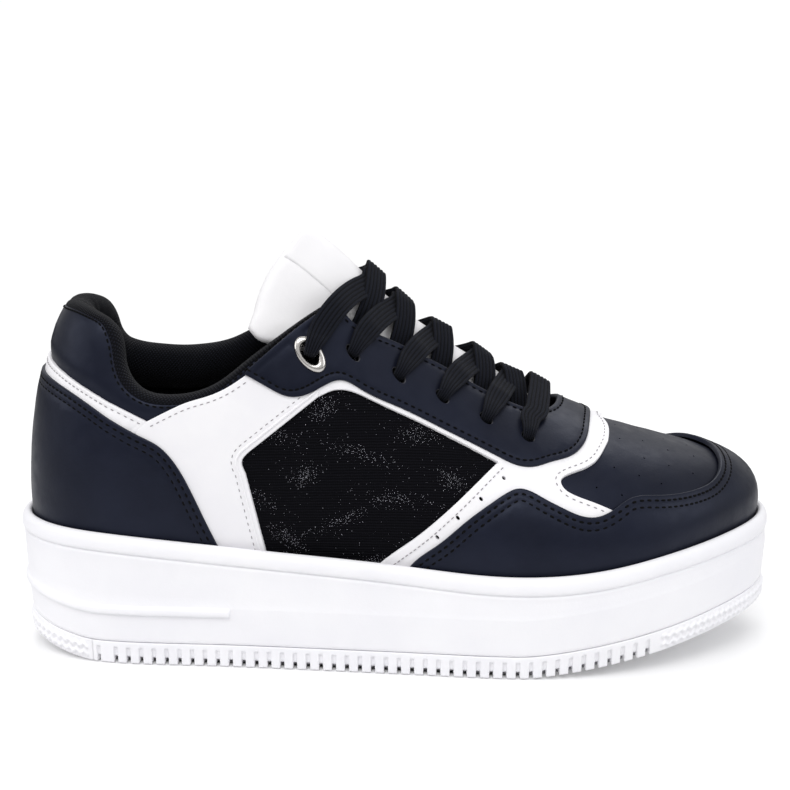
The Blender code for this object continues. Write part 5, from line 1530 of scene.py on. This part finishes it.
def lace_rows():
    """Tail, criss-cross down to the front bar, criss-cross back up, tail."""
    rows = tail(-1, TAIL)
    sign = -1
    for k in range(5):
        rows += run_rows(k, sign, sign > 0)
        sign = -sign
    rows += bar_rows(sign) + bar_rows(-sign)[::-1][1:]
    sign = -sign
    for k in range(4, -1, -1):
        rows += run_rows(k, -sign, -sign > 0)[::-1]
        sign = -sign
    rows += tail(1, TAIL)[::-1]
    clean = [rows[0]]
    for row in rows[1:]:
        if np.linalg.norm(row[0] - clean[-1][0]) > 1.1:
            clean.append(row)
    return clean


def lace_section():
    """Half-width and half-thickness shares round a flat cord with lengthwise ribs."""
    out = []
    for k in range(LACE_SIDES):
        w = 2 * math.pi * k / LACE_SIDES
        x = math.copysign(abs(math.cos(w)) ** 0.8, math.cos(w))
        y = math.copysign(abs(math.sin(w)) ** 0.45, math.sin(w))
        rib = abs(math.sin(RIBS * math.pi * (x + 1) / 2))
        out.append((x, y * (0.58 + 0.42 * rib)))
    return out


def ribbon(name, rows, step, mat, **where):
    """Sweep the ribbed section along a smooth path through stations (centre, normal, width, thickness)."""
    pts = np.array([r[0] for r in rows])
    arc = np.concatenate([[0], np.cumsum(np.linalg.norm(np.diff(pts, axis=0), axis=1))])
    at = np.arange(0, arc[-1], step)
    path = np.column_stack([hermite(arc, c, at) for c in pts.T])
    norm = np.column_stack([np.interp(at, arc, c) for c in np.array([r[1] for r in rows]).T])
    wide = soft(np.interp(at, arc, [r[2] for r in rows]), 5)
    thick = soft(np.interp(at, arc, [r[3] for r in rows]), 5)
    tang = np.gradient(path, axis=0)
    keep = None
    sides = []
    for tt, n in zip(tang, norm):
        tt = unit(tt)
        across = np.cross(n, tt)
        if keep is not None:
            if np.linalg.norm(across) < 0.35:
                across = keep
            if np.dot(across, keep) < 0:
                across = -across
        across = unit(across - tt * np.dot(across, tt))
        if keep is not None:
            across = unit(0.35 * across + 0.65 * keep)
            across = unit(across - tt * np.dot(across, tt))
        keep = across
        sides.append(across)
    sides = np.array(sides)
    ups = np.cross(tang, sides)
    ups /= np.linalg.norm(ups, axis=1)[:, None]
    section_run = lace_section()
    rings = [path + sides * (x * wide / 2)[:, None] + ups * (y * thick / 2)[:, None]
             for x, y in section_run]
    uv = np.vstack([np.column_stack([at, np.full(len(at), LACE_HALF * x)]) for x, _ in section_run])
    return build(name, np.vstack(rings), sweep_faces(len(rings), len(at)), mat, uv=uv, **where)


def hermite(arc, values, at):
    """Smooth curve through the stations without overshoot between them."""
    h = np.diff(arc)
    slope = np.diff(values) / h
    m = np.concatenate([[slope[0]], (slope[:-1] * h[1:] + slope[1:] * h[:-1]) / (h[:-1] + h[1:]),
                        [slope[-1]]])
    i = np.clip(np.searchsorted(arc, at, side="right") - 1, 0, len(h) - 1)
    t = (at - arc[i]) / h[i]
    return ((2 * t ** 3 - 3 * t ** 2 + 1) * values[i] + (t ** 3 - 2 * t ** 2 + t) * h[i] * m[i]
            + (3 * t ** 2 - 2 * t ** 3) * values[i + 1] + (t ** 3 - t ** 2) * h[i] * m[i + 1])


def soft(values, width):
    pad = np.concatenate([np.full(width, values[0]), values, np.full(width, values[-1])])
    return np.convolve(pad, np.full(2 * width + 1, 1 / (2 * width + 1)), "valid")


ribbon("lace", lace_rows(), 0.7, lace_mat, slot="lace_weave")
for sign, half_name in HALF_NAMES.items():
    ribbon("lace_tip_" + half_name, tail(sign, TIP), 1.0, aglet, slot="lace_tip_plastic")

seams.make("black", "black_stitches", black_thread, slot="black_leather")
seams.make("bold", "bold_stitches", black_thread, slot="black_leather")
seams.make("grey", "pale_stitches", grey_thread, slot="white_leather")

# ---------------------------------------------------------------- parts kept from the CAD

stiff = core_look("hidden_sheet", 0.8, Look.noise, (0.25, 0.24, 0.22), (0.5, 0.48, 0.44), 0.0002, 0.5)
foam = core_look("foam", 0.9, Look.cells, (0.55, 0.55, 0.57), (0.8, 0.8, 0.8), 0.0003, 0.7)
dark_foam = core_look("dark_foam", 0.95, Look.cells, (0.004, 0.004, 0.005), (0.02, 0.02, 0.022),
                      0.0003, 0.7)
KEPT = {"heel_counter": stiff, "toe_puff": stiff, "insole_board": stiff, "midsole_foam": foam,
        "sockliner_foam": dark_foam}
for node, mat in KEPT.items():
    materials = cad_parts[node].data.materials
    materials.clear()
    materials.append(mat)

# ---------------------------------------------------------------- stage, light and camera

# far from the object the floor fades into the backdrop, so that no horizon shows
floor_look = Look("floor", 0.6)
spread = floor_look.node("VectorMath", {0: floor_look.coords.outputs["Object"]}, operation="LENGTH")
away = floor_look.remap(spread.outputs["Value"], 0.25, 1.1)
near = floor_look.mix(floor_look.noise(3.0), (0.80, 0.80, 0.805), (0.82, 0.82, 0.825))
floor_look.use("Base Color", floor_look.mix(away, near, (0.0, 0.0, 0.0)))
floor_look.use("Emission Color", (1.0, 1.0, 1.0, 1.0))
glow = floor_look.remap(away, 0, 1, 0.16, 1.02)
floor_ray = floor_look.node("LightPath").outputs["Is Camera Ray"]
floor_look.use("Emission Strength", floor_look.maths("MULTIPLY", floor_ray, glow))
floor_look.use("Specular IOR Level", 0.0)
bpy.ops.mesh.primitive_plane_add(size=60.0, location=(0, 0, -0.0004))
floor = bpy.context.object
floor.name = "floor"
floor.data.materials.append(floor_look.mat)


def softbox(name, place_at, aim, size, power, colour=(1, 1, 1)):
    data = bpy.data.lights.new(name, "AREA")
    data.shape = "RECTANGLE"
    data.size, data.size_y = size
    data.energy = power
    data.color = colour
    lamp = bpy.data.objects.new(name, data)
    lamp.location = place_at
    lamp.rotation_euler = (Vector(aim) - Vector(place_at)).to_track_quat("-Z", "Y").to_euler()
    bpy.context.scene.collection.objects.link(lamp)


softbox("key", (-0.25, -0.9, 1.35), (0, 0, 0.06), (1.3, 0.8), 11.5)
softbox("side_right", (1.3, -0.5, 0.6), (0, 0, 0.06), (0.8, 0.9), 4.2, (0.97, 0.98, 1.0))
softbox("side_left", (-1.3, -0.35, 0.6), (0, 0, 0.06), (0.8, 0.9), 3.6)
softbox("top_back", (0.1, 0.9, 1.2), (0, 0, 0.06), (1.4, 0.7), 7.0)

world = bpy.data.worlds.new("studio")
bpy.context.scene.world = world
world.use_nodes = True
sky = world.node_tree.nodes["Background"]
sky.inputs["Color"].default_value = (1.0, 1.0, 1.0, 1.0)
ray = world.node_tree.nodes.new("ShaderNodeLightPath")
seen = world.node_tree.nodes.new("ShaderNodeMapRange")
seen.inputs["To Min"].default_value = 0.62      # light on the object
seen.inputs["To Max"].default_value = 1.02      # backdrop as the camera sees it
world.node_tree.links.new(ray.outputs["Is Camera Ray"], seen.inputs["Value"])
world.node_tree.links.new(seen.outputs[0], sky.inputs["Strength"])

camera_data = bpy.data.cameras.new("camera")
camera_data.sensor_width = 36.0
camera_data.lens = 77.06
camera_data.clip_start = 0.02
camera = bpy.data.objects.new("camera", camera_data)
camera.location = (-0.001, -0.610, 0.225)
camera.rotation_euler = (math.radians(90 - 12.3), 0, 0)
bpy.context.scene.collection.objects.link(camera)
bpy.context.scene.camera = camera
bpy.context.scene.view_settings.view_transform = "Standard"

bpy.context.view_layer.update()
